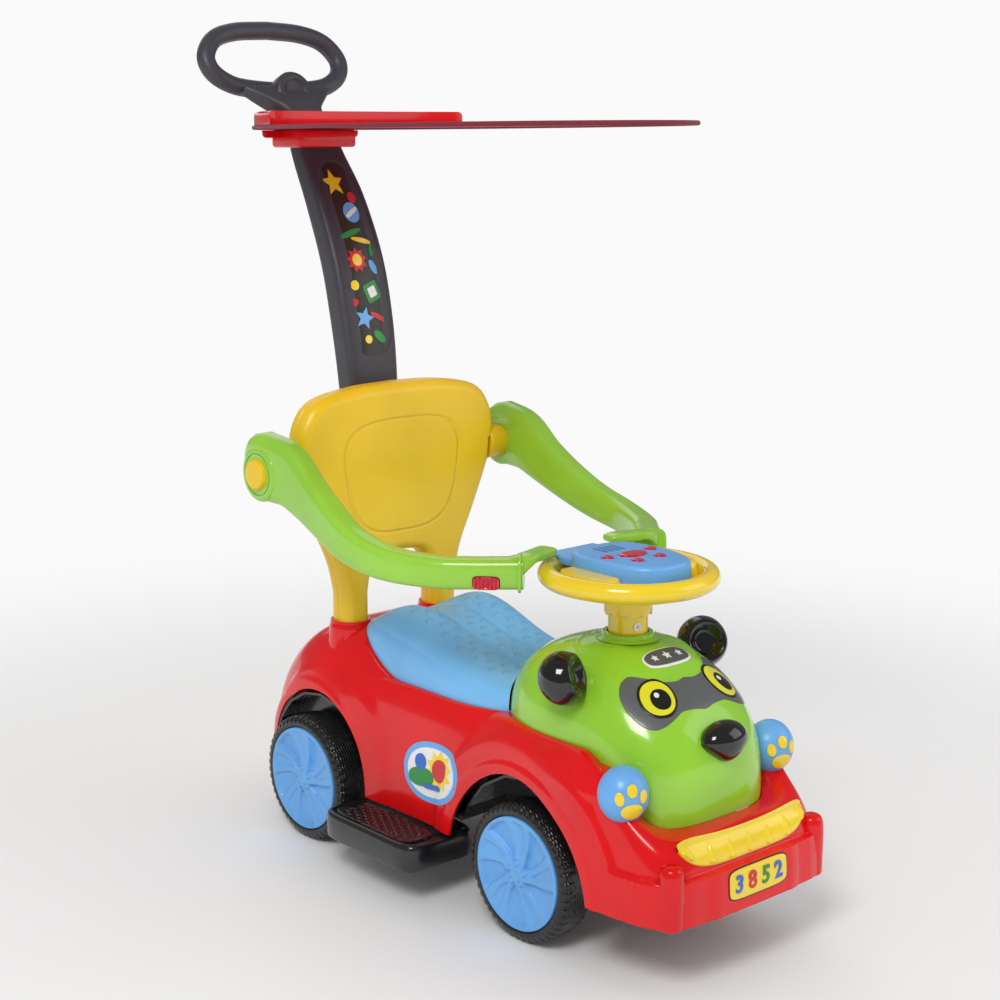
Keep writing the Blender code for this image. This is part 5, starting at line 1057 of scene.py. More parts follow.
# wheels
wheel = {"inner": 0.084, "axleZ": 0.071, "lugs": 48, "petals": 5}
wheelPlaces = {"rear_left": (0.1634, 1), "rear_right": (0.1634, -1), "front_left": (-0.1966, 1),
               "front_right": (-0.1966, -1)}
tyreProfile = [(0.00425, 0.0), (0.0115, 0.0), (0.0523, 0.009), (0.0610, 0.0015), (0.0650, 0.0),
               (0.0682, 0.0012),
               (0.0702, 0.0042), (0.0710, 0.0080), (0.0710, 0.0110), (0.0710, 0.0150), (0.0710, 0.0200),
               (0.0710, 0.0250),
               (0.0710, 0.0290), (0.0710, 0.0325), (0.0702, 0.0356), (0.0682, 0.0382), (0.0650, 0.0395),
               (0.0620, 0.0398),
               (0.0596, 0.0394), (0.0585, 0.0385), (0.0583, 0.0340), (0.0115, 0.0295), (0.00425, 0.0295),
               (0.00425, 0.0)]


def tyreRelief(radius, height, angle):
    # lugs cut into both shoulders and a shallow wavy centre
    lug = (angle * wheel["lugs"] / (2 * math.pi)) % 1.0
    notch = smoothStep(lug, 0.05, 0.16) * (1 - smoothStep(lug, 0.44, 0.55))
    if radius > 0.0640:
        shoulder = max(math.exp(-((height - 0.0042) / 0.0046) ** 2),
                       math.exp(-((height - 0.0356) / 0.0046) ** 2))
        radius -= 0.0021 * notch * shoulder
        wave = 0.0016 * math.sin(angle * 24)
        for groove in (0.0125, 0.0198, 0.0271):
            radius -= 0.0010 * math.exp(-((height - groove - wave) / 0.0011) ** 2)
    return radius, height


petalTurn = 0.32


def capHeight(radius):
    path = [(0.0, 0.0412), (0.009, 0.0408), (0.014, 0.0392), (0.024, 0.0378), (0.040, 0.0388),
            (0.0555, 0.0412), (0.0572, 0.0405)]
    return atValue(path, 0, min(radius, 0.0571))[1]


capRadii = [0.002 + 0.0556 * step / 44 for step in range(45)]
capProfile = ([(0.0, 0.0405)] + [(r, capHeight(r)) for r in capRadii]
              + [(0.0580, 0.0390), (0.0580, 0.0343), (0.0, 0.0330)])


def capRelief(radius, height, angle):
    # swirling troughs pressed in, and five small lug circles round the middle
    if 0.0001 < radius < 0.0575 and height > 0.036:
        swirl = angle - petalTurn * (radius / 0.055)
        local = (swirl * wheel["petals"] / (2 * math.pi)) % 1.0 - 0.5
        outerEdge = smoothStep(0.0545 - radius, 0.0, 0.0030)
        if radius > 0.0125:
            # a wide trough that opens to the rim, and a narrow shallow one half way to the next
            halfWidth = 0.25 * min((radius - 0.0125) / 0.0100, 1.0) ** 0.5
            inside = smoothStep(halfWidth - abs(local), 0.0, 0.07)
            height -= 0.0046 * outerEdge * inside * (0.6 + 0.4 * smoothStep(local, -0.25, 0.25))
        if radius > 0.0200:
            halfWidth = 0.13 * min((radius - 0.0200) / 0.0120, 1.0) ** 0.5
            height -= 0.0016 * outerEdge * smoothStep(halfWidth - (0.5 - abs(local)), 0.0, 0.06)
        x, y = radius * math.cos(angle), radius * math.sin(angle)
        for lug in range(5):
            turn = 2 * math.pi * (lug + 0.25) / 5
            away = math.hypot(x - 0.0112 * math.cos(turn), y - 0.0112 * math.sin(turn))
            dot = 1 - smoothStep(away, 0.0022, 0.0029)
            height += 0.0011 * dot - 0.0007 * math.exp(-((away - 0.0034) / 0.0006) ** 2)
        height += 0.0006 * math.exp(-((radius - 0.0062) / 0.0008) ** 2)
    return radius, height


for label, (axleY, side) in wheelPlaces.items():
    hub = facing((side, 0, 0), (side * wheel["inner"], axleY, wheel["axleZ"]))
    place = hub @ Matrix.Rotation(0.13 * (axleY > 0), 4, "Z")
    tyre = turnedPiece("tyre_" + label + "_tread", tyreProfile, place, 480, tyreRelief)
    finishPiece(tyre, tyreBlack, "wheel_" + label, ["tyre_" + label], 40)
    cap = turnedPiece("wheel_cap_" + label, capProfile, place, 360, capRelief)
    finishPiece(cap, bluePlastic, "wheel_" + label, ["hubcap_" + label], 40)
print("wheels done")


# steering wheel, skirt and sleeve
steering = {"centre": (0.0, -0.223), "rimRadius": 0.081, "rimTube": 0.0100, "rimZ": 0.362,
            "plateTop": 0.351}
steerAt = Matrix.Translation(Vector((0, steering["centre"][1], 0)))


def wheelTop(radius, angle):
    # height of the filled disc: low in front and behind, high pads at the sides
    x, y = radius * math.cos(angle), radius * math.sin(angle)
    pad = (1 - smoothStep(abs(y), 0.030, 0.044)) * smoothStep(abs(x), 0.038, 0.0475)
    return steering["plateTop"] + (0.3715 - steering["plateTop"]) * pad


rimSteps = [(steering["rimRadius"] + steering["rimTube"] * math.cos(a),
             steering["rimZ"] + steering["rimTube"] * math.sin(a))
            for a in [math.pi * 0.80 - 2 * math.pi * 0.80 * step / 26 for step in range(27)]]
wheelProfile = ([(0.0001, steering["plateTop"])] + [(0.004 + 0.0680 * step / 34, steering["plateTop"])
                                                    for step in range(35)]
                + rimSteps + [(0.0690, 0.3500), (0.0660, 0.3470), (0.0250, 0.3470), (0.0235, 0.3480),
                              (0.0001, 0.3480)])


def wheelRelief(radius, height, angle):
    if radius < 0.0735 and height >= steering["plateTop"] - 0.0001 and height < 0.3600:
        blendOut = 1 - smoothStep(radius, 0.0700, 0.0735) * 0.5
        height = max(height, height + (wheelTop(radius, angle) - steering["plateTop"]) * blendOut)
    return radius, height


yellowWheel = turnedPiece("steering_rim", wheelProfile, steerAt, 240, wheelRelief)
skirtProfile = [(0.0200, 0.3490), (0.0262, 0.3490), (0.0250, 0.3440), (0.0245, 0.3380), (0.0243, 0.3260),
                (0.0240, 0.3222),
                (0.0216, 0.3222), (0.0214, 0.3260), (0.0214, 0.3490), (0.0200, 0.3490)]


def skirtRelief(radius, height, angle):
    # scalloped lower edge
    if height < 0.3300:
        height += 0.0030 * (0.5 + 0.5 * math.cos(angle * 10)) * (1 - smoothStep(height, 0.3225, 0.3330))
    return radius, height


skirt = turnedPiece("wheel_skirt", skirtProfile, steerAt, 160, skirtRelief)
finishPiece(skirt, lemonPlastic, "steering", (), 40)
finishPiece(yellowWheel, lemonPlastic, "steering", ["steering_wheel"], 40)
sleeveProfile = filletProfile([(0.0170, 0.2998), (0.0200, 0.2998), (0.0200, 0.3467), (0.0170, 0.3467),
                               (0.0170, 0.2998)], 0.0008)


sleeve = turnedPiece("wheel_sleeve", sleeveProfile, steerAt, 120)
finishPiece(sleeve, lemonPlastic, "steering", ["steering_sleeve"], 40)


# music console
console = {"half": 0.048, "front": -0.288, "rear": -0.168, "top": 0.3825, "low": 0.3513, "edge": 0.0042}


def consoleOutline(inset, count=144):
    middle = (console["front"] + console["rear"]) / 2
    points = []
    for step in range(count):
        c, s = roundedCorner(2 * math.pi * step / count, 0.62)
        y = middle + ((console["rear"] - console["front"]) / 2 - inset) * s
        x = (console["half"] - inset) * c * (1 - 0.16 * smoothStep(middle - y, 0.0, 0.06))
        points.append((x, y))
    return points


consoleRows = [(0.0012, console["low"]), (0.0, console["low"] + 0.0008), (0.0, 0.3600), (0.0006, 0.3700),
               (0.0012, 0.3765)]
consoleRows += [(0.0014 + console["edge"] * (1 - math.cos(a)),
                 console["top"] - console["edge"] * (1 - math.sin(a)))
                for a in [math.pi / 2 * step / 7 for step in range(8)]]
consoleRows += [(0.0075, console["top"] - 0.0001), (0.012, console["top"]), (0.022, console["top"]),
                (0.034, console["top"]),
                (0.046, console["top"])]
outlines = [consoleOutline(inset) for inset, z in consoleRows]


def consolePlace(u, v):
    row = round(v * len(consoleRows))
    column = round(u * 144) % 144
    if row == 0:
        return Vector((outlines[0][column][0] * 0.9, outlines[0][column][1] * 0.985, console["low"]))
    x, y = outlines[row - 1][column]
    return Vector((x, y, consoleRows[row - 1][1]))


blueConsole = gridPiece("music_console", 144, len(consoleRows), consolePlace)
fillOpenEdges(blueConsole)


wing = boxPiece("console_lip", (-0.034, -0.180, 0.3645), (0.034, -0.137, 0.374), 0.003, 4)
cutBy(blueConsole, wing, "UNION")
finishPiece(blueConsole, bluePlastic, "steering", ["steering_console"], 42)
bandRows = [(consoleOutline(inset), z) for inset, z in ((0.0012, 0.3514), (-0.0006, 0.3516),
        (-0.0006, 0.3560),
                                                       (0.0001, 0.3566), (0.0012, 0.3566))]


def bandPlace(u, v):
    outline, z = bandRows[round(v * 4)]
    return Vector((*outline[round(u * 144) % 144], z))


band = gridPiece("console_band", 144, 4, bandPlace)
finishPiece(band, bluePlastic, "steering", (), 40)


def buttonPiece(name, centre, halfLong, halfDeep, low, high, body, replaced):
    steps = [(1.0, low), (1.0, high - 0.0016)] + [(math.cos(a) ** 0.45,
                                                   high - 0.0016 + 0.0016 * math.sin(a))
                                                  for a in [math.pi / 2 * k / 8
                                                          for k in range(1, 8)]] + [(0.0001, high)]

    def placeAt(u, v):
        share, z = steps[round(v * (len(steps) - 1))]
        angle = 2 * math.pi * u
        return Vector((centre[0] + halfLong * share * math.cos(angle),
                       centre[1] + halfDeep * share * math.sin(angle), z))
    piece = gridPiece(name, 64, len(steps) - 1, placeAt)
    return finishPiece(piece, buttonRed, body, [replaced], 50)


buttonPiece("horn_cap", (0, -0.228), 0.0165, 0.010, 0.3790, 0.3852, "horn", "horn_button")
tunePlaces = []
for node in ("tune_button_1", "tune_button_2", "tune_button_3", "tune_button_4"):
    low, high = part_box(node)
    centre = ((low[0] + high[0]) / 2, (low[1] + high[1]) / 2)
    tunePlaces.append(centre)
    buttonPiece("tune_cap_" + node[-1], centre, 0.0062, 0.0062, 0.3790, 0.3850, "tune_" + node[-1], node)


def ringPiece(name, centre, halfLong, halfDeep, width, z, rise, material, body):
    def placeAt(u, v):
        angle, around = 2 * math.pi * u, 2 * math.pi * v
        grow = width * math.cos(around)
        return Vector((centre[0] + (halfLong + grow) * math.cos(angle),
                       centre[1] + (halfDeep + grow) * math.sin(angle),
                       z + rise * math.sin(around)))
    return finishPiece(gridPiece(name, 64, 10, placeAt), material, body, (), 60)


ringPiece("horn_ring", (0, -0.228), 0.0192, 0.0127, 0.0010, 0.3826, 0.0006, bluePlastic, "steering")
for index, centre in enumerate(tunePlaces):
    ringPiece("tune_ring_%d" % (index + 1), centre, 0.0078, 0.0078, 0.0008, 0.3826, 0.0006, bluePlastic,
              "steering")
# speaker slots in the lip, drawn as thin darker blue plates: painted shade where the slot openings are
slotPaintedShade = plastic("slotPaintedShade", (0.05, 0.16, 0.36), satin)
for index in range(4):
    slotPiece = boxPiece("speaker_slot_shade_%d" % (index + 1), (-0.014 + 0.0076 * index, -0.205, 0.3823),
                         (-0.0100 + 0.0076 * index, -0.184, 0.38285), 0.0002, 2)
    finishPiece(slotPiece, slotPaintedShade, "steering")
print("steering done")


# backrest
backrest = {"middle": 0.150, "half": 0.0175, "edge": 0.013, "legBottom": 0.218}
backOuter = curveThrough([(0.0812, 0.282), (0.0905, 0.318), (0.112, 0.365), (0.1315, 0.412),
                          (0.1385, 0.446), (0.133, 0.478),
                          (0.111, 0.502), (0.060, 0.512), (0.0, 0.5145)], 14)
backGap = curveThrough([(0.0462, 0.282), (0.0422, 0.300), (0.030, 0.317), (0.0, 0.322)], 14)
legSteps = 10
rightSide = [(0.0812, lerp(backrest["legBottom"], 0.282, step / legSteps))
             for step in range(legSteps)] + backOuter
gapSide = [(0.0462, lerp(backrest["legBottom"], 0.282, step / legSteps))
           for step in range(legSteps)] + backGap
backOutline = (rightSide + [(-x, z) for x, z in rightSide[-2::-1]] + [(-x, z) for x, z in gapSide]
               + gapSide[-2::-1])


def insetOutline(outline, distance):
    moved = []
    count = len(outline)
    area = sum(outline[i - 1][0] * outline[i][1] - outline[i][0] * outline[i - 1][1] for i in range(count))
    signed = math.copysign(distance, area)
    for i, (x, z) in enumerate(outline):
        ax, az = outline[i - 1]
        bx, bz = outline[(i + 1) % count]
        first = Vector((x - ax, z - az)).normalized()
        second = Vector((bx - x, bz - z)).normalized()
        normal = Vector((-(first.y + second.y), first.x + second.x)).normalized()
        scale = signed / max(abs(normal.dot(Vector((-first.y, first.x)))), 0.5)
        moved.append((x + normal.x * scale, z + normal.y * scale))
    return moved


def extrudedOutline(name, outline, rowsOf, axis="y"):
    # rowsOf is a list of (inset, depth along the axis); both ends are filled afterwards
    levels = [(insetOutline(outline, inset) if inset else outline, depth) for inset, depth in rowsOf]
    count = len(outline)

    def placeAt(u, v):
        points, depth = levels[round(v * (len(levels) - 1))]
        a, b = points[round(u * count) % count]
        return Vector((a, depth, b)) if axis == "y" else Vector((a, b, depth))
    piece = gridPiece(name, count, len(levels) - 1, placeAt)
    index = 1 if axis == "y" else 2
    for depth in (levels[0][1], levels[-1][1]):
        makeActive(piece)
        bpy.ops.object.mode_set(mode="EDIT")
        bpy.ops.mesh.select_mode(type="EDGE")
        bpy.ops.mesh.select_all(action="DESELECT")
        bpy.ops.mesh.select_non_manifold()
        bpy.ops.object.mode_set(mode="OBJECT")
        points = piece.data.vertices
        for edge in piece.data.edges:
            edge.select = edge.select and all(abs(points[i].co[index] - depth) < 0.00001
                                              for i in edge.vertices)
        bpy.ops.object.mode_set(mode="EDIT")
        bpy.ops.mesh.fill(use_beauty=True)
        bpy.ops.object.mode_set(mode="OBJECT")
    makeActive(piece)
    bpy.ops.object.mode_set(mode="EDIT")
    bpy.ops.mesh.select_all(action="SELECT")
    bpy.ops.mesh.normals_make_consistent(inside=False)
    bpy.ops.object.mode_set(mode="OBJECT")
    return piece


def roundedRows(edge, inner, outer, steps=8):
    # a flat side at inner, then a rounded edge out to the face at outer
    direction = 1 if outer > inner else -1
    rows = [(0.0006, inner), (0.0, inner + direction * 0.0006)]
    start = outer - direction * edge
    for step in range(steps + 1):
        a = math.pi / 2 * step / steps
        rows.append((edge * (1 - math.cos(a)), start + direction * edge * math.sin(a)))
    return rows


backPoints = resampled(backOutline, 420)
backHalves = {}
for name, node, face in (("backrest_front_half", "backrest_front", -1),
                         ("backrest_rear_half", "backrest_rear", 1)):
    rows = roundedRows(backrest["edge"], backrest["middle"] + face * 0.00025,
                       backrest["middle"] + face * backrest["half"], 9)
    backHalves[node] = extrudedOutline(name, backPoints, rows)
for side in (-1, 1):
    boss = turnedPiece("boss", filletProfile([(0.0, 0.0), (0.0205, 0.0), (0.0190, 0.012), (0.0190, 0.0262),
                                              (0.0, 0.0262)], 0.0016),
                       facing((side, 0, 0), (side * 0.1308, 0.150, 0.430)), 80)
    cutBy(backHalves["backrest_rear"], boss, "UNION")
    relief = cylinderPiece(0.0194, 0.06, (side * 0.156, 0.150, 0.430), sideways, 80)
    cutBy(backHalves["backrest_front"], relief)
socket = boxPiece("socket", (-0.0360, 0.1625, 0.352), (0.0360, 0.2135, 0.470), 0.006, 4)
cutBy(backHalves["backrest_rear"], socket, "UNION")
for node, piece in backHalves.items():
    finishPiece(piece, backrestYellow, "chassis", [node], 40)
print("backrest done")


# guard arms
latchOut = Vector((-0.741, -0.672, 0)).normalized()
latchAt = Vector((-0.1239, -0.1496, 0.3584))
latchSide = Vector((-latchOut.y, latchOut.x, 0))


def pocketPlace(u, v):
    # room in the right arm for the latch button and its stroke
    share, proud = [(0.001, -0.0100), (1.06, -0.0100), (1.06, 0.0080), (0.001, 0.0080)][round(v * 3)]
    c, s = roundedCorner(2 * math.pi * u, 0.42)
    return latchAt + latchSide * 0.013 * c * share + Vector((0, 0, 0.0067 * s * share)) + latchOut * proud


arm = {"thick": 0.0285, "frontHigh": 0.0310}
armPath = curveThrough([(0.1715, 0.150, 0.4375, 0.074), (0.169, 0.115, 0.4325, 0.069),
                        (0.1685, 0.080, 0.4140, 0.0535),
                        (0.171, 0.040, 0.394, 0.0445), (0.1735, 0.0, 0.378, 0.0385),
                        (0.169, -0.050, 0.368, 0.0340),
                        (0.147, -0.100, 0.3646, 0.0315), (0.124, -0.128, 0.365, 0.031),
                        (0.106, -0.148, 0.3658, 0.031),
                        (0.089, -0.166, 0.3665, 0.031)], 10)
tonguePath = curveThrough([(0.106, -0.146, 0.3795, 0.356, 0.022), (0.093, -0.160, 0.3835, 0.360, 0.023),
                           (0.083, -0.164, 0.385, 0.3745, 0.022), (0.065, -0.159, 0.385, 0.3745, 0.022),
                           (0.048, -0.1545, 0.385, 0.3745, 0.022), (0.0405, -0.152, 0.383, 0.3765, 0.017)],
                          6)


def sectionPoint(centre, tangent, thickness, height, angle, power=0.50):
    tangent = Vector(tangent).normalized()
    across = Vector((tangent.y, -tangent.x, 0)).normalized()
    upward = across.cross(tangent).normalized()
    if upward.z < 0:
        upward = -upward
    c, s = roundedCorner(angle, power)
    return Vector(centre) + across * (c * thickness / 2) + upward * (s * height / 2)


def sweptPiece(name, stations, around, capped=True):
    # stations are functions of the angle; the ends close on their own middle
    rings = [[station(2 * math.pi * k / around) for k in range(around)] for station in stations]
    if capped:
        first = sum(rings[0], Vector()) / around
        last = sum(rings[-1], Vector()) / around
        for share in (0.5, 0.0):
            rings.insert(0, [first + (point - first) * share for point in rings[0]]
                         if share else [first] * around)
            rings.append([last + (point - last) * share for point in rings[-1]]
                         if share else [last] * around)
    rows = len(rings) - 1
    return gridPiece(name, around, rows, lambda u, v: rings[round(v * rows)][round(u * around) % around])


rimRoom = [(0.0001, 0.33), (0.0922, 0.33), (0.0922, 0.3743), (0.0001, 0.3743)]
for side, label in ((1, "left"), (-1, "right")):
    stations = []
    for i, point in enumerate(armPath):
        before, after = armPath[max(i - 1, 0)], armPath[min(i + 1, len(armPath) - 1)]
        tangent = (0, -1, 0) if i == 0 else [b - a for a, b in zip(before[:3], after[:3])]
        stations.append(lambda angle, p=point[:3], t=tangent, h=point[3]:
                        sectionPoint(p, t, arm["thick"], h, angle, 0.52))
    first = armPath[0]
    for back, shrink in ((0.012, 0.93), (0.021, 0.78), (0.0265, 0.58), (0.029, 0.34)):
        stations.insert(0, lambda angle, b=back, s=shrink:
                        sectionPoint((first[0], first[1] + b, first[2]), (0, -1, 0),
                                     arm["thick"] * (0.6 + 0.4 * s), first[3] * s, angle, 0.52))
    bar = sweptPiece("guard_" + label, stations, 56)
    disc = turnedPiece("disc", filletProfile([(0.0, 0.0), (0.030, 0.0), (0.030, 0.0285), (0.0, 0.0285)],
                                             0.006, 6),
                       facing((1, 0, 0), (0.1715 - 0.01425, 0.150, 0.430)), 96)
    cutBy(bar, disc, "UNION")
    tongueStations = []
    for x, y, high, low, deep in tonguePath:
        direction = Vector((-1, -0.9, 0)).lerp(Vector((-1, 0.20, 0)), smoothStep(0.095 - x, 0.0, 0.012))
        tongueStations.append(lambda angle, c=(x, y, (high + low) / 2), d=direction, w=deep, h=high - low:
                              sectionPoint(c, d, w, h, angle, 0.55))
    cutBy(bar, sweptPiece("tongue", tongueStations, 40), "UNION")
    # room for the rim of the steering wheel
    cutBy(bar, turnedPiece("rim_space", rimRoom, steerAt, 180))
    collarAt, collarAlong = Vector(armPath[-1][:3]), Vector((-0.70, -0.71, 0))
    collarStations = []
    for offset, shrink in ((-0.0018, 0.0016), (-0.0014, 0.0003), (0.0, 0.0), (0.0014, 0.0003),
                           (0.0018, 0.0016)):
        collarStations.append(lambda angle, o=offset, s=shrink: sectionPoint(
            collarAt - collarAlong * 0.0035 + collarAlong * o, collarAlong, arm["thick"] + 0.0064 - 2 * s,
            arm["frontHigh"] + 0.0064 - 2 * s, angle, 0.52))
    flange = sweptPiece("flange", collarStations, 56)
    cutBy(flange, turnedPiece("rim_space", rimRoom, steerAt, 180))
    cutBy(bar, flange, "UNION")
    # ring groove round the pivot cap
    groove = turnedPiece("groove", [(0.0215, 0.0), (0.0232, 0.0), (0.0232, 0.004), (0.0215, 0.004),
                                    (0.0215, 0.0)],
                         facing((1, 0, 0), (0.1715 + 0.01425 - 0.0012, 0.150, 0.430)), 96)
    cutBy(bar, groove)
    if side < 0:
        bar.data.transform(Matrix.Diagonal((-1, 1, 1, 1)))
        bar.data.flip_normals()
        cutBy(bar, gridPiece("pocket", 96, 3, pocketPlace))
    finishPiece(bar, greenArmPlastic, "guard_" + label, ["guard_arm_" + label], 40)
    capLow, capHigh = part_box("pivot_cap_" + label)
    reach = capHigh[0] if side > 0 else -capLow[0]
    capShape = filletProfile([(0.0, 0.0), (0.0172, 0.0), (0.0166, 0.0050), (0.0150, reach - 0.1826),
                              (0.0, reach - 0.1826)], 0.0026, 6)
    pivotCap = turnedPiece("yellow_cap_" + label, capShape,
                           facing((side, 0, 0), (side * 0.1826, 0.150, 0.430)), 96)
    finishPiece(pivotCap, yellowPlastic, "guard_" + label, ["pivot_cap_" + label], 40)
print("arms done")

# red ribbed latch button
def latchPlace(u, v):
    rows = [(1.0, -0.006), (1.0, 0.0012), (0.99, 0.0017), (0.95, 0.0021),
            (0.86, 0.0022)] + [(0.86 - 0.0716 * k, 0.0022) for k in range(1, 13)]
    share, proud = rows[min(round(v * 16), 16)]
    c, s = roundedCorner(2 * math.pi * u, 0.42)
    along = 0.013 * c * share
    if proud > 0.0020:
        proud += 0.0009 * math.cos(along * 2 * math.pi / 0.0040) - 0.0009
    return latchAt + latchSide * along + Vector((0, 0, 0.0065 * s * share)) + latchOut * proud


latchPiece = gridPiece("latch_pad", 96, 16, latchPlace)
finishPiece(latchPiece, buttonRed, "latch", ["latch_button"], 40)


# push column
columnStations = [(0.192, 0.36, 0.031, 0.014), (0.1925, 0.44, 0.0325, 0.015),
                  (0.1967, 0.51, 0.0345, 0.0168),
                  (0.2069, 0.577, 0.0365, 0.0172), (0.2244, 0.644, 0.0365, 0.0172),
                  (0.2552, 0.71, 0.0345, 0.0165),
                  (0.287, 0.76, 0.030, 0.0145), (0.3107, 0.808, 0.026, 0.0125)]
columnPath = curveThrough(columnStations, 12)


def columnAt(z):
    return atValue(columnPath, 1, z)


recess = {"low": 0.535, "high": 0.745, "margin": 0.0078, "depth": 0.0017}


def columnFrame(z):
    y, _, half, deep = columnAt(z)
    y2 = columnAt(min(z + 0.004, 0.806))[0]
    y1 = columnAt(max(z - 0.004, 0.362))[0]
    slope = Vector((0, y2 - y1, min(z + 0.004, 0.806) - max(z - 0.004, 0.362))).normalized()
    forward = Vector((0, -slope.z, slope.y))
    return Vector((0, y, z)), forward, half, deep


def recessShare(x, z):
    # 1 well inside the pressed panel, 0 outside it; the panel has round ends
    _, _, half, _ = columnAt(z)
    width = half - recess["margin"]
    end = min(z - recess["low"], recess["high"] - z)
    if end <= 0:
        return 0.0
    if end < width:
        width = math.sqrt(max(width ** 2 - (width - end) ** 2, 0.0))
    return smoothStep(width - abs(x), -0.0004, 0.0012)


columnRows, columnAround = 190, 112


def columnPlace(u, v):
    row = round(v * (columnRows + 2))
    inner = min(max(row - 1, 0), columnRows)
    z = lerp(0.400, 0.776, inner / columnRows)
    centre, forward, half, deep = columnFrame(z)
    if row == 0 or row == columnRows + 2:
        return centre
    c, s = roundedCorner(2 * math.pi * u, 0.42)
    x = half * c
    depth = deep * s
    if s > 0.2:
        depth -= recess["depth"] * recessShare(x, z)
    return centre + Vector((x, 0, 0)) + forward * depth


greyColumn = gridPiece("push_post", columnAround, columnRows + 2, columnPlace)
finishPiece(greyColumn, charcoalPlastic, "chassis", ["push_column"], 35)


def panelPlace(u, v):
    z = lerp(recess["low"] + 0.0008, recess["high"] - 0.0008, v)
    _, _, half, _ = columnAt(z)
    width = half - recess["margin"] - 0.0009
    end = min(z - recess["low"], recess["high"] - z)
    if end < width:
        width = math.sqrt(max(width ** 2 - (width - end) ** 2, 0.0))
    centre, forward, half, deep = columnFrame(z)
    x = width * (2 * u - 1)
    s = (1 - min(abs(x / half), 1.0) ** (1 / 0.42)) ** 0.42
    return centre + Vector((x, 0, 0)) + forward * (deep * s - recess["depth"] + 0.0004)


panel = gridPiece("column_panel", 24, 120, panelPlace, closed=False)
cleanMesh(panel)
thicken(panel, 0.0006, 1.0)
finishPiece(panel, panelOlive, "chassis", (), 40)


def onPanel(x, z, lift):
    centre, forward, half, deep = columnFrame(z)
    s = (1 - min(abs(x / half), 1.0) ** (1 / 0.42)) ** 0.42
    return centre + Vector((x, 0, 0)) + forward * (deep * s - recess["depth"] + lift)


def starOutline(points, outer, inner, turn=0.0):
    outline = []
    for k in range(points * 2):
        a = math.pi * k / points + turn
        r = outer if k % 2 == 0 else inner
        outline.append((r * math.sin(a), r * math.cos(a)))
    dense = []
    for i, first in enumerate(outline):
        second = outline[(i + 1) % len(outline)]
        dense += [tuple(lerp(a, b, t / 4) for a, b in zip(first, second)) for t in range(4)]
    return dense


def blob(halfX, halfZ, turn=0.0, power=1.0):
    return ovalOutline(0, 0, halfX, halfZ, power, 48, turn)


paints = {"red": plateRed, "green": plateGreen, "blue": plateBlue, "yellow": lemonPlastic,
          "sky": bluePlastic, "white": whitePaint}
motifs = [("star", starOutline(5, 12, 5.4), -0.007, 0.722, "yellow"),
          ("dot", blob(5, 5), 0.011, 0.706, "red"),
          ("ball", blob(9, 9), 0.004, 0.690, "sky"), ("ballbar", blob(8.4, 2.0, 0.5, 0.7), 0.004, 0.690,
                  "white"),
          ("wave1", blob(13, 2.6, 0.25), -0.006, 0.668, "green"),
          ("wave2", blob(12, 2.2, -0.2), 0.007, 0.660, "yellow"),
          ("sun", starOutline(9, 11, 7.6), -0.006, 0.640, "red"),
          ("suncore", blob(5.2, 5.2), -0.006, 0.640, "yellow"),
          ("drop1", blob(3.6, 7.0, 0.5), 0.015, 0.632, "sky"),
          ("drop2", blob(3.2, 6.0, -0.4), 0.018, 0.650, "green"),
          ("square", blob(8.5, 8.5, 0.35, 0.25), 0.007, 0.606, "green"),
          ("squarein", blob(4.6, 4.6, 0.35, 0.25), 0.007, 0.606, "white"),
          ("dot2", blob(4.4, 4.4), -0.015, 0.614, "yellow"), ("dot3", blob(3.4, 3.4), -0.018, 0.596, "red"),
          ("star2", starOutline(5, 10.5, 4.8, 0.3), -0.008, 0.578, "sky"),
          ("bar", blob(10.5, 2.2, -0.45, 0.7), 0.012, 0.578, "red"),
          ("leaf", blob(4.0, 8.0, 0.9), 0.010, 0.557, "green"),
          ("dot4", blob(3.8, 3.8), -0.006, 0.555, "yellow")]
for index, (label, outline, x, z, paint) in enumerate(motifs):
    lift = 0.0016 + 0.0003 * (label in ("ballbar", "suncore", "squarein"))
    outline = [(x + a * 0.0012, z + b * 0.0012) for a, b in outline]
    platePiece("panel_" + label, outline, (x, z), 3, (0.0006, lift, lift), onPanel, paints[paint], 1,
               0.0001)
print("column done")


# handle
handleTurn = math.radians(22)
handleUp = Vector((0, math.sin(handleTurn), math.cos(handleTurn)))
handleOut = Vector((0, -math.cos(handleTurn), math.sin(handleTurn)))
handleAt = Vector((0, 0.3615, 0.842))
halfLoop = curveThrough([(0.0, 0.064), (0.045, 0.061), (0.076, 0.051), (0.0925, 0.030), (0.088, 0.010),
                         (0.066, -0.004),
                         (0.036, -0.009), (0.0, -0.011)], 10)
loopLine = halfLoop + [(-x, s) for x, s in halfLoop[-2:0:-1]]
loopPoints = [handleAt + Vector((x, 0, 0)) + handleUp * s for x, s in loopLine]
loopCount, loopAround = len(loopPoints), 40


def loopPlace(u, v):
    index = round(u * loopCount) % loopCount
    along = (loopPoints[(index + 1) % loopCount] - loopPoints[index - 1]).normalized()
    across = along.cross(handleOut).normalized()
    angle = 2 * math.pi * v
    # a flatter lower bar and a fine moulding line along the tube
    flat = smoothStep(-loopLine[index][1], -0.004, 0.008)
    radius = 0.0105 - 0.0004 * math.exp(-((angle % math.pi - 0.02) / 0.05) ** 2)
    return (loopPoints[index] + across * radius * math.cos(angle)
            + handleOut * radius * (1 - 0.12 * flat) * math.sin(angle))


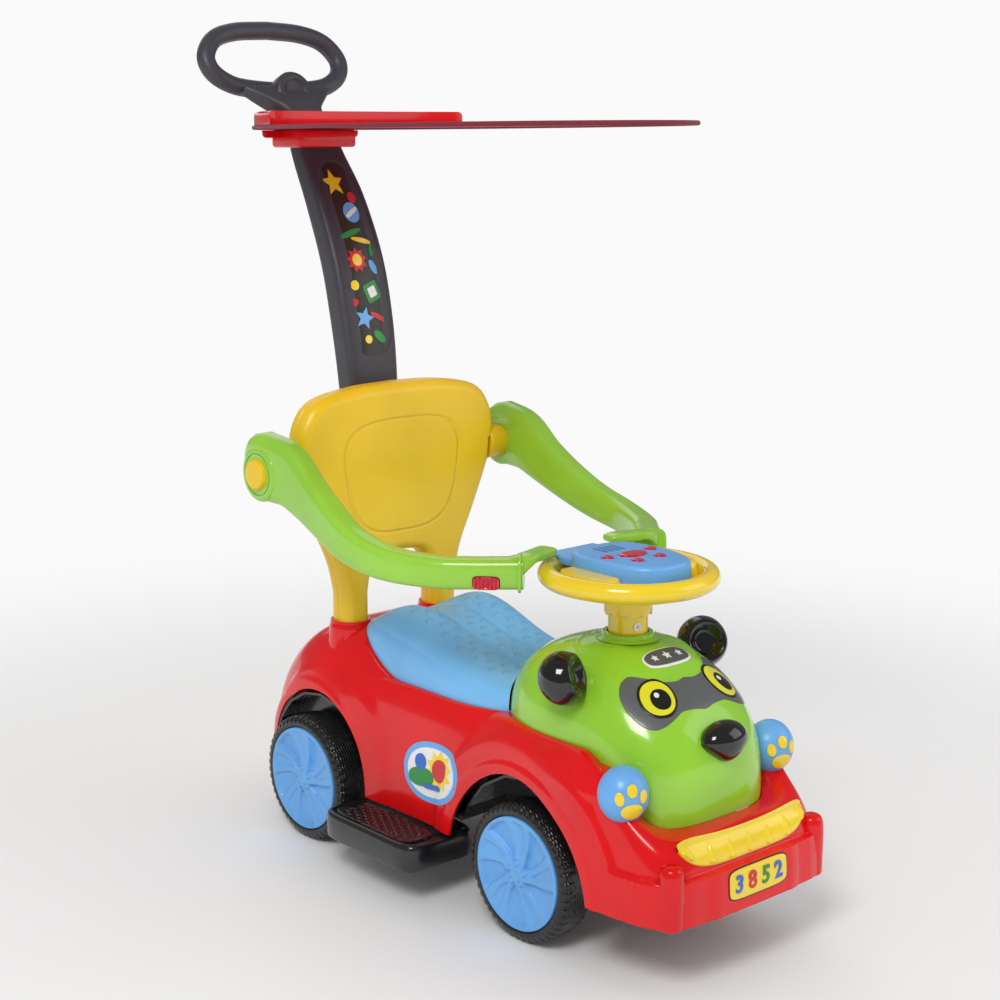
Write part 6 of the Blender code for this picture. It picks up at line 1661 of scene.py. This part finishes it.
greyHandle = gridPiece("push_handle", loopCount, loopAround, loopPlace)
plateAt = handleAt + handleUp * -0.0215 + handleOut * 0.0200
dimple = turnedPiece("dimple", filletProfile([(0.0, -0.0120), (0.0215, -0.0120), (0.0245, -0.008),
                                              (0.0245, 0.006), (0.0215, 0.0090),
                                              (0.0160, 0.0090), (0.0120, 0.0060), (0.0, 0.0050)], 0.0028,
                                             6), facing(handleOut, plateAt), 96)
cutBy(greyHandle, dimple, "UNION")
neckStations = []
neckPath = curveThrough([(columnAt(0.776)[0], 0.7765, 0.0222, 0.0135),
                         (columnAt(0.792)[0], 0.792, 0.0222, 0.0132),
                         (0.3185, 0.806, 0.0262, 0.0135), (0.3290, 0.8150, 0.0370, 0.0130),
                         (0.3395, 0.8245, 0.0510, 0.0118),
                         (0.3475, 0.8315, 0.0610, 0.0100)], 8)
for i, (y, z, half, deep) in enumerate(neckPath):
    before, after = neckPath[max(i - 1, 0)], neckPath[min(i + 1, len(neckPath) - 1)]
    slope = Vector((0, after[0] - before[0], after[1] - before[1])).normalized()
    forward = Vector((0, -slope.z, slope.y))
    neckStations.append(lambda angle, c=Vector((0, y, z)), f=forward, h=half, d=deep:
                        c + Vector((h * roundedCorner(angle, 0.5)[0], 0, 0))
                        + f * d * roundedCorner(angle, 0.5)[1])
cutBy(greyHandle, sweptPiece("neck", neckStations, 64), "UNION")
modify(greyHandle, "REMESH", mode="VOXEL", voxel_size=0.0011)
modify(greyHandle, "CORRECTIVE_SMOOTH", factor=0.9, iterations=14)
finishPiece(greyHandle, charcoalPlastic, "chassis", ["handle_loop"], 60)
print("handle:", len(greyHandle.data.polygons))


# canopy
canopy = {"z": 0.796, "front": -0.266, "rear": 0.336, "half": 0.155, "power": 2.05,
          "turn": math.radians(-1), "turnY": 0.300}
canopyTurn = (Matrix.Translation(Vector((0, canopy["turnY"], canopy["z"] - 0.0055)))
              @ Matrix.Rotation(canopy["turn"], 4, "X")
              @ Matrix.Translation(Vector((0, -canopy["turnY"], -canopy["z"]))))


def canopyOutline(outset, count):
    middle, reach = (canopy["front"] + canopy["rear"]) / 2, (canopy["rear"] - canopy["front"]) / 2 + outset
    points = []
    for step in range(count):
        c, s = roundedCorner(2 * math.pi * step / count, 2 / canopy["power"])
        points.append(((canopy["half"] + outset) * c, middle + reach * s))
    return resampled(points, count)


clothOutline = canopyOutline(-0.0047, 360)
clothMiddle = (0.0, 0.035)


def clothHeight(x, y, share):
    # pulled tight, with light wrinkles that run out from the rear cover to the hoop
    away = math.hypot(x, y - 0.21)
    angle = math.atan2(x, 0.21 - y)
    wrinkle = (0.00055 * math.sin(angle * 13 + 0.8) * smoothStep(away, 0.10, 0.20)
               * smoothStep(1.0 - share, 0.02, 0.35))
    wrinkle += (0.00045 * math.sin(y * 95 + x * 18) * math.sin(x * 34 + 1.1)
                * smoothStep(1.0 - share, 0.0, 0.3))
    return wrinkle * 0.9


def clothPlace(u, v):
    row = round(v * 62)
    column = round(u * 360) % 360
    side = 1 if row <= 30 else -1
    share = (row / 30 if row <= 30 else (61 - row + 1) / 31)
    share = min(max(share, 0.0001), 1.0)
    x = clothMiddle[0] + (clothOutline[column][0] - clothMiddle[0]) * share
    y = clothMiddle[1] + (clothOutline[column][1] - clothMiddle[1]) * share
    return Vector((x, y, canopy["z"] + 0.0004 * side + clothHeight(x, y, share)))


cloth = gridPiece("canopy_cloth", 360, 62, clothPlace)


def neckHole(angle, z):
    middleY = lerp(0.298, 0.322, (z - 0.77) / 0.05)
    return Vector((0.0285 * math.cos(angle), middleY + 0.022 * math.sin(angle), z))


neckHoles = [lambda angle, z=z: neckHole(angle, z) for z in (0.77, 0.796, 0.82)]
neckSpace = sweptPiece("neck_space", neckHoles, 64)
cutBy(cloth, neckSpace)
cloth.data.transform(canopyTurn)
finishPiece(cloth, canopyCloth, "chassis", ["canopy_fabric"], 50)
clothSides = zip(clothOutline, clothOutline[1:] + clothOutline[:1])
area = abs(sum(a[0] * b[1] - b[0] * a[1] for a, b in clothSides)) / 2

# dark bound edge over the wire hoop
pipingLine = canopyOutline(0.0, 400)
bindingCount = len(pipingLine)


def pipingPlace(u, v):
    index = round(u * bindingCount) % bindingCount
    x, y = pipingLine[index]
    ax, ay = pipingLine[index - 1]
    bx, by = pipingLine[(index + 1) % bindingCount]
    normal = Vector((by - ay, ax - bx, 0)).normalized()
    angle = 2 * math.pi * v
    flatness = 1.0 + 0.55 * max(-math.cos(angle), 0)
    return (Vector((x, y, canopy["z"])) + normal * 0.0022 * math.cos(angle) * flatness * 1.05
            + Vector((0, 0, 0.0024 * math.sin(angle))))


pipingCloth = fabricMaterial()
pipingCloth.name = "bindingCloth"
for link in list(pipingCloth.node_tree.nodes["Principled BSDF"].inputs["Base Color"].links):
    pipingCloth.node_tree.links.remove(link)
pipingCloth.node_tree.nodes["Principled BSDF"].inputs["Base Color"].default_value = (0.20, 0.012, 0.030, 1)
piping = gridPiece("canopy_piping", bindingCount, 14, pipingPlace)
piping.data.transform(canopyTurn)
finishPiece(piping, pipingCloth, "chassis", ["canopy_hoop"], 60)


def coverPiece(name, outset, start, sign, edge, cutY):
    # a plate on the canopy outline with a rounded far edge, cut to a bow in front
    rows = [(0.0, canopy["z"] + sign * 0.0027), (0.0, canopy["z"] + sign * start)]
    steps = 6 if sign > 0 else 5
    for k in range(1, steps + 1):
        angle = math.pi / 2 * k / steps
        rows.append((edge * (1 - math.cos(angle)), canopy["z"] + sign * (start + edge * math.sin(angle))))
    piece = extrudedOutline(name, canopyOutline(outset, 360), rows, "z")
    cutBy(piece, cylinderPiece(0.560, 0.2, (0, cutY, canopy["z"]), vertices=256))
    roundEdges(piece, 0.0016, 3, 60)
    return piece


upperCover = coverPiece("canopy_cover_top", -0.0005, 0.0122, 1, 0.0050, -0.355)
lowerCover = coverPiece("canopy_cover_under", -0.006, 0.0070, -1, 0.0040, -0.256)
clampLow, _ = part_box("canopy_lower_cover")
clampY, _, clampHalf, clampDeep = columnAt(0.778)
clampBlock = boxPiece("clamp", (-clampHalf - 0.012, clampY - clampDeep - 0.016, clampLow[2]),
                      (clampHalf + 0.012, clampY + clampDeep + 0.012, 0.7945), 0.004, 4)
cutBy(lowerCover, clampBlock, "UNION")


def columnHole(angle, z):
    c, s = roundedCorner(angle, 0.5)
    return Vector((0.0268 * c, lerp(0.2890, 0.3330, (z - 0.76) / 0.07) + 0.0180 * s, z))


cutBy(upperCover, sweptPiece("hole", [lambda angle, z=z: columnHole(angle, z)
                                      for z in (0.76, 0.795, 0.83)], 64))
for piece, node in ((upperCover, "canopy_upper_cover"), (lowerCover, "canopy_lower_cover")):
    piece.data.transform(canopyTurn)
    finishPiece(piece, redPlastic, "chassis", [node], 40)
print("canopy done")


# footboards
for side, label in ((1, "left"), (-1, "right")):
    low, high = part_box("footboard_" + label)
    inner, outer = sorted((abs(low[0]), abs(high[0])))
    outline = []
    middleY, halfY = (low[1] + high[1]) / 2, (high[1] - low[1]) / 2
    middleX, halfX = (inner + outer) / 2, (outer - inner) / 2
    for step in range(160):
        c, s = roundedCorner(2 * math.pi * step / 160, 0.30)
        outline.append((side * (middleX + halfX * c), middleY + halfY * s))
    outline = resampled(outline, 200)
    rows = [(0.0035, 0.0400), (0.0010, 0.0410), (0.0, 0.0430), (0.0, 0.0640), (0.0010, 0.0672),
            (0.0030, 0.0692), (0.0055, 0.0695),
            (0.0075, 0.0690), (0.0085, 0.0682), (0.0100, 0.0680)]
    step = extrudedOutline("foot_step_" + label, outline, [(i, z) for i, z in rows], "z")
    finishPiece(step, blackPlastic, "chassis", ["footboard_" + label], 40)
    tread = []
    for index in range(120):
        c, s = roundedCorner(2 * math.pi * index / 120, 0.34)
        tread.append((side * (0.1345 + 0.0215 * c), middleY + (halfY - 0.0140) * s))
    pad = extrudedOutline("foot_tread_" + label, resampled(tread, 140),
                          [(0.0, 0.0670), (0.0, 0.0698), (0.0006, 0.0704), (0.0016, 0.0707),
                           (0.006, 0.0707)], "z")
    finishPiece(pad, footBlack, "chassis", (), 40)
    pebbles = []
    for row in range(-6, 7):
        for column in range(-2, 3):
            x, y = 0.0092 * (column + 0.5 * (row % 2)), 0.0082 * row
            if abs(x / 0.0185) ** 4 + abs(y / (halfY - 0.0185)) ** 4 < 1:
                centre = (side * (0.1345 + x), middleY + y, 0.0706)
                pebbles.append(ellipsoidPiece("pebble", centre, (0.0038, 0.0036, 0.0015), 20))
    finishPiece(joined("foot_pebbles_" + label, pebbles), blackGloss, "chassis", (), 60)


# cap badge and side shapes
badge = {"x": 0.0, "y": -0.2765, "halfX": 0.0300, "halfY": 0.0115}


def onHoodTop(x, y, lift):
    hit, place, normal, index = greenHood.ray_cast(Vector((x, y, 0.4)), Vector((0, 0, -1)))
    return place + Vector((0, 0, lift)) if hit else Vector((x, y, 0.29))


badgeAt = (badge["x"], badge["y"])
badgeGrey = plastic("badgeGrey", (0.085, 0.090, 0.095), satin)
for name, inset, lift, paint in (("cap_badge_rim", 0.0, 0.0010, whitePaint),
                                 ("cap_badge_field", 0.0017, 0.0015, badgeGrey)):
    outline = ovalOutline(*badgeAt, badge["halfX"] - inset, badge["halfY"] - inset, 0.72, 80)
    platePiece(name, outline, badgeAt, 8, (-0.0008, lift * 0.6, lift), onHoodTop, paint)
for index, x in enumerate((-0.0165, 0.0, 0.0165)):
    offMiddle = abs(index - 1)
    star = starOutline(5, 5.6 - offMiddle, 2.6 - 0.4 * offMiddle)
    star = [(x + px * 0.001, badge["y"] + pz * 0.001) for px, pz in star]
    platePiece("cap_badge_star_%d" % (index + 1), star, (x, badge["y"]), 4, (-0.0008, 0.00114, 0.0019),
               onHoodTop, whitePaint)


def onSide(y, z, lift, side):
    hit, place, normal, index = redBody.ray_cast(Vector((-0.3, y, z)), Vector((1, 0, 0)))
    place = place + normal * lift if hit else Vector((-0.105, y, z))
    return Vector((place.x * -side, place.y, place.z))


sideShapes = [("cloud", blob(34, 24, 0.12, 0.9), -0.042, 0.141, "sky"),
              ("cloudin", blob(29, 19.5, 0.12, 0.9), -0.042, 0.141, "white"),
              ("sunrays", starOutline(10, 16.5, 11.5), -0.055, 0.146, "yellow"),
              ("sunface", blob(9, 9), -0.055, 0.146, "red"),
              ("hill", blob(15, 7.5, 0.15, 0.9), -0.026, 0.133, "green"),
              ("ball", blob(6.4, 6.4), -0.024, 0.149, "blue"),
              ("dash", blob(11, 2.0, 0.1, 0.7), -0.046, 0.1265, "blue")]
for index, (label, outline, y, z, paint) in enumerate(sideShapes):
    y, z, lift = y - 0.002, z - 0.011, 0.0004 + 0.0003 * index
    outline = [(y - a * 0.00135, z + b * 0.00135) for a, b in outline]
    for side, sideName in ((-1, "right"), (1, "left")):
        platePiece("side_" + label + "_" + sideName, outline, (y, z), 10, (-0.0006, lift, lift),
                   lambda y, z, lift, side=side: onSide(y, z, lift, side), paints[paint], 1, 0.0001)
print("small shapes done")


# parts that keep their CAD shape
carried = {"chassis_tray": blackPlastic, "storage_tub": tubGrey, "rear_axle": steel, "rear_push_nut": steel,
           "kingpin_left": steel, "kingpin_right": steel, "wheel_bolt_left": steel,
           "wheel_bolt_right": steel,
           "steering_rod": steel, "tie_rod": steel, "clamp_screw": steel, "pivot_pin_left": steel,
           "pivot_pin_right": steel,
           "latch_spring": steel, "knuckle_left": blackPlastic, "knuckle_right": blackPlastic,
           "console_base": charcoalPlastic,
           "circuit_board": boardGreen, "speaker": charcoalPlastic, "battery_pack": buttonRed}
for name, material in carried.items():
    for slotIndex in range(len(nodes[name].material_slots)):
        nodes[name].material_slots[slotIndex].material = material


# floor, lights and camera
floorMaterial, floorTree, floorShader = newMaterial("studioFloor")
floorShader.inputs["Base Color"].default_value = (0.86, 0.86, 0.86, 1)
floorShader.inputs["Roughness"].default_value = 0.85
floorShader.inputs["Specular IOR Level"].default_value = 0.15
floorPlace = addNode(floorTree, "ShaderNodeTexCoord").outputs["Object"]
floorAway = addNode(floorTree, "ShaderNodeVectorMath", operation="LENGTH")
floorTree.links.new(floorPlace, floorAway.inputs[0])
farShare = addNode(floorTree, "ShaderNodeMapRange", interpolation_type="SMOOTHERSTEP")
farShare.inputs["From Min"].default_value = 0.55
farShare.inputs["From Max"].default_value = 1.70
floorTree.links.new(floorAway.outputs["Value"], farShare.inputs["Value"])
farGlow = addNode(floorTree, "ShaderNodeEmission")
farGlow.inputs["Color"].default_value = (0.955, 0.955, 0.955, 1)
floorMix = addNode(floorTree, "ShaderNodeMixShader")
floorTree.links.new(farShare.outputs["Result"], floorMix.inputs["Fac"])
floorTree.links.new(floorShader.outputs["BSDF"], floorMix.inputs[1])
floorTree.links.new(farGlow.outputs["Emission"], floorMix.inputs[2])
floorTree.links.new(floorMix.outputs["Shader"], floorTree.nodes["Material Output"].inputs["Surface"])
deselectAll()
bpy.ops.mesh.primitive_plane_add(size=24, location=(0, 0, 0))
floor = bpy.context.object
floor.name = "studio_floor"
floor.data.materials.append(floorMaterial)

world = bpy.data.worlds.new("studio")
bpy.context.scene.world = world
world.use_nodes = True
skyTree = world.node_tree
skyTree.nodes["Background"].inputs["Color"].default_value = (1, 1, 1, 1)
skyTree.nodes["Background"].inputs["Strength"].default_value = 0.62
plainSky = addNode(skyTree, "ShaderNodeBackground")
plainSky.inputs["Color"].default_value = (0.955, 0.955, 0.955, 1)
rayKind = addNode(skyTree, "ShaderNodeLightPath")
skyMix = addNode(skyTree, "ShaderNodeMixShader")
skyTree.links.new(rayKind.outputs["Is Camera Ray"], skyMix.inputs["Fac"])
# reflections see a darker room, so the colours stay full
dimSky = addNode(skyTree, "ShaderNodeBackground")
dimSky.inputs["Color"].default_value = (1, 1, 1, 1)
dimSky.inputs["Strength"].default_value = 0.20
glossMix = addNode(skyTree, "ShaderNodeMixShader")
skyTree.links.new(rayKind.outputs["Is Glossy Ray"], glossMix.inputs["Fac"])
skyTree.links.new(skyTree.nodes["Background"].outputs["Background"], glossMix.inputs[1])
skyTree.links.new(dimSky.outputs["Background"], glossMix.inputs[2])
skyTree.links.new(glossMix.outputs["Shader"], skyMix.inputs[1])
skyTree.links.new(plainSky.outputs["Background"], skyMix.inputs[2])
skyTree.links.new(skyMix.outputs["Shader"], skyTree.nodes["World Output"].inputs["Surface"])


def softLight(name, place, target, size, watts):
    deselectAll()
    bpy.ops.object.light_add(type="AREA", location=place)
    light = bpy.context.object
    light.name = name
    light.data.size = size
    light.data.energy = watts
    light.rotation_euler = (Vector(target) - Vector(place)).to_track_quat("-Z", "Y").to_euler()
    return light


softLight("key_light", (-1.9, -1.3, 2.4), (0, 0, 0.35), 1.0, 42)
softLight("fill_light", (1.9, -2.0, 1.5), (0, 0, 0.3), 1.8, 13)
softLight("rear_light", (0.9, 2.4, 2.0), (0, 0, 0.4), 2.4, 14)

camera = {"place": (-1.28842, -1.47649, 0.80621), "yaw": 41.7, "pitch": -11.67, "roll": 0.325,
          "lens": 67.09}
deselectAll()
bpy.ops.object.camera_add(location=camera["place"])
view = bpy.context.object
view.name = "photo_camera"
yaw, pitch = math.radians(camera["yaw"]), math.radians(camera["pitch"])
forward = Vector((math.sin(yaw) * math.cos(pitch), math.cos(yaw) * math.cos(pitch), math.sin(pitch)))
level = Vector((math.cos(yaw), -math.sin(yaw), 0))
above = level.cross(forward)
roll = math.radians(camera["roll"])
right = level * math.cos(roll) + above * math.sin(roll)
upward = above * math.cos(roll) - level * math.sin(roll)
turned = Matrix((right, upward, -forward)).transposed().to_4x4()
view.matrix_world = Matrix.Translation(Vector(camera["place"])) @ turned
view.data.lens = camera["lens"]
view.data.sensor_width = 36
view.data.clip_start = 0.01
bpy.context.scene.camera = view
bpy.context.scene.view_settings.view_transform = "Standard"
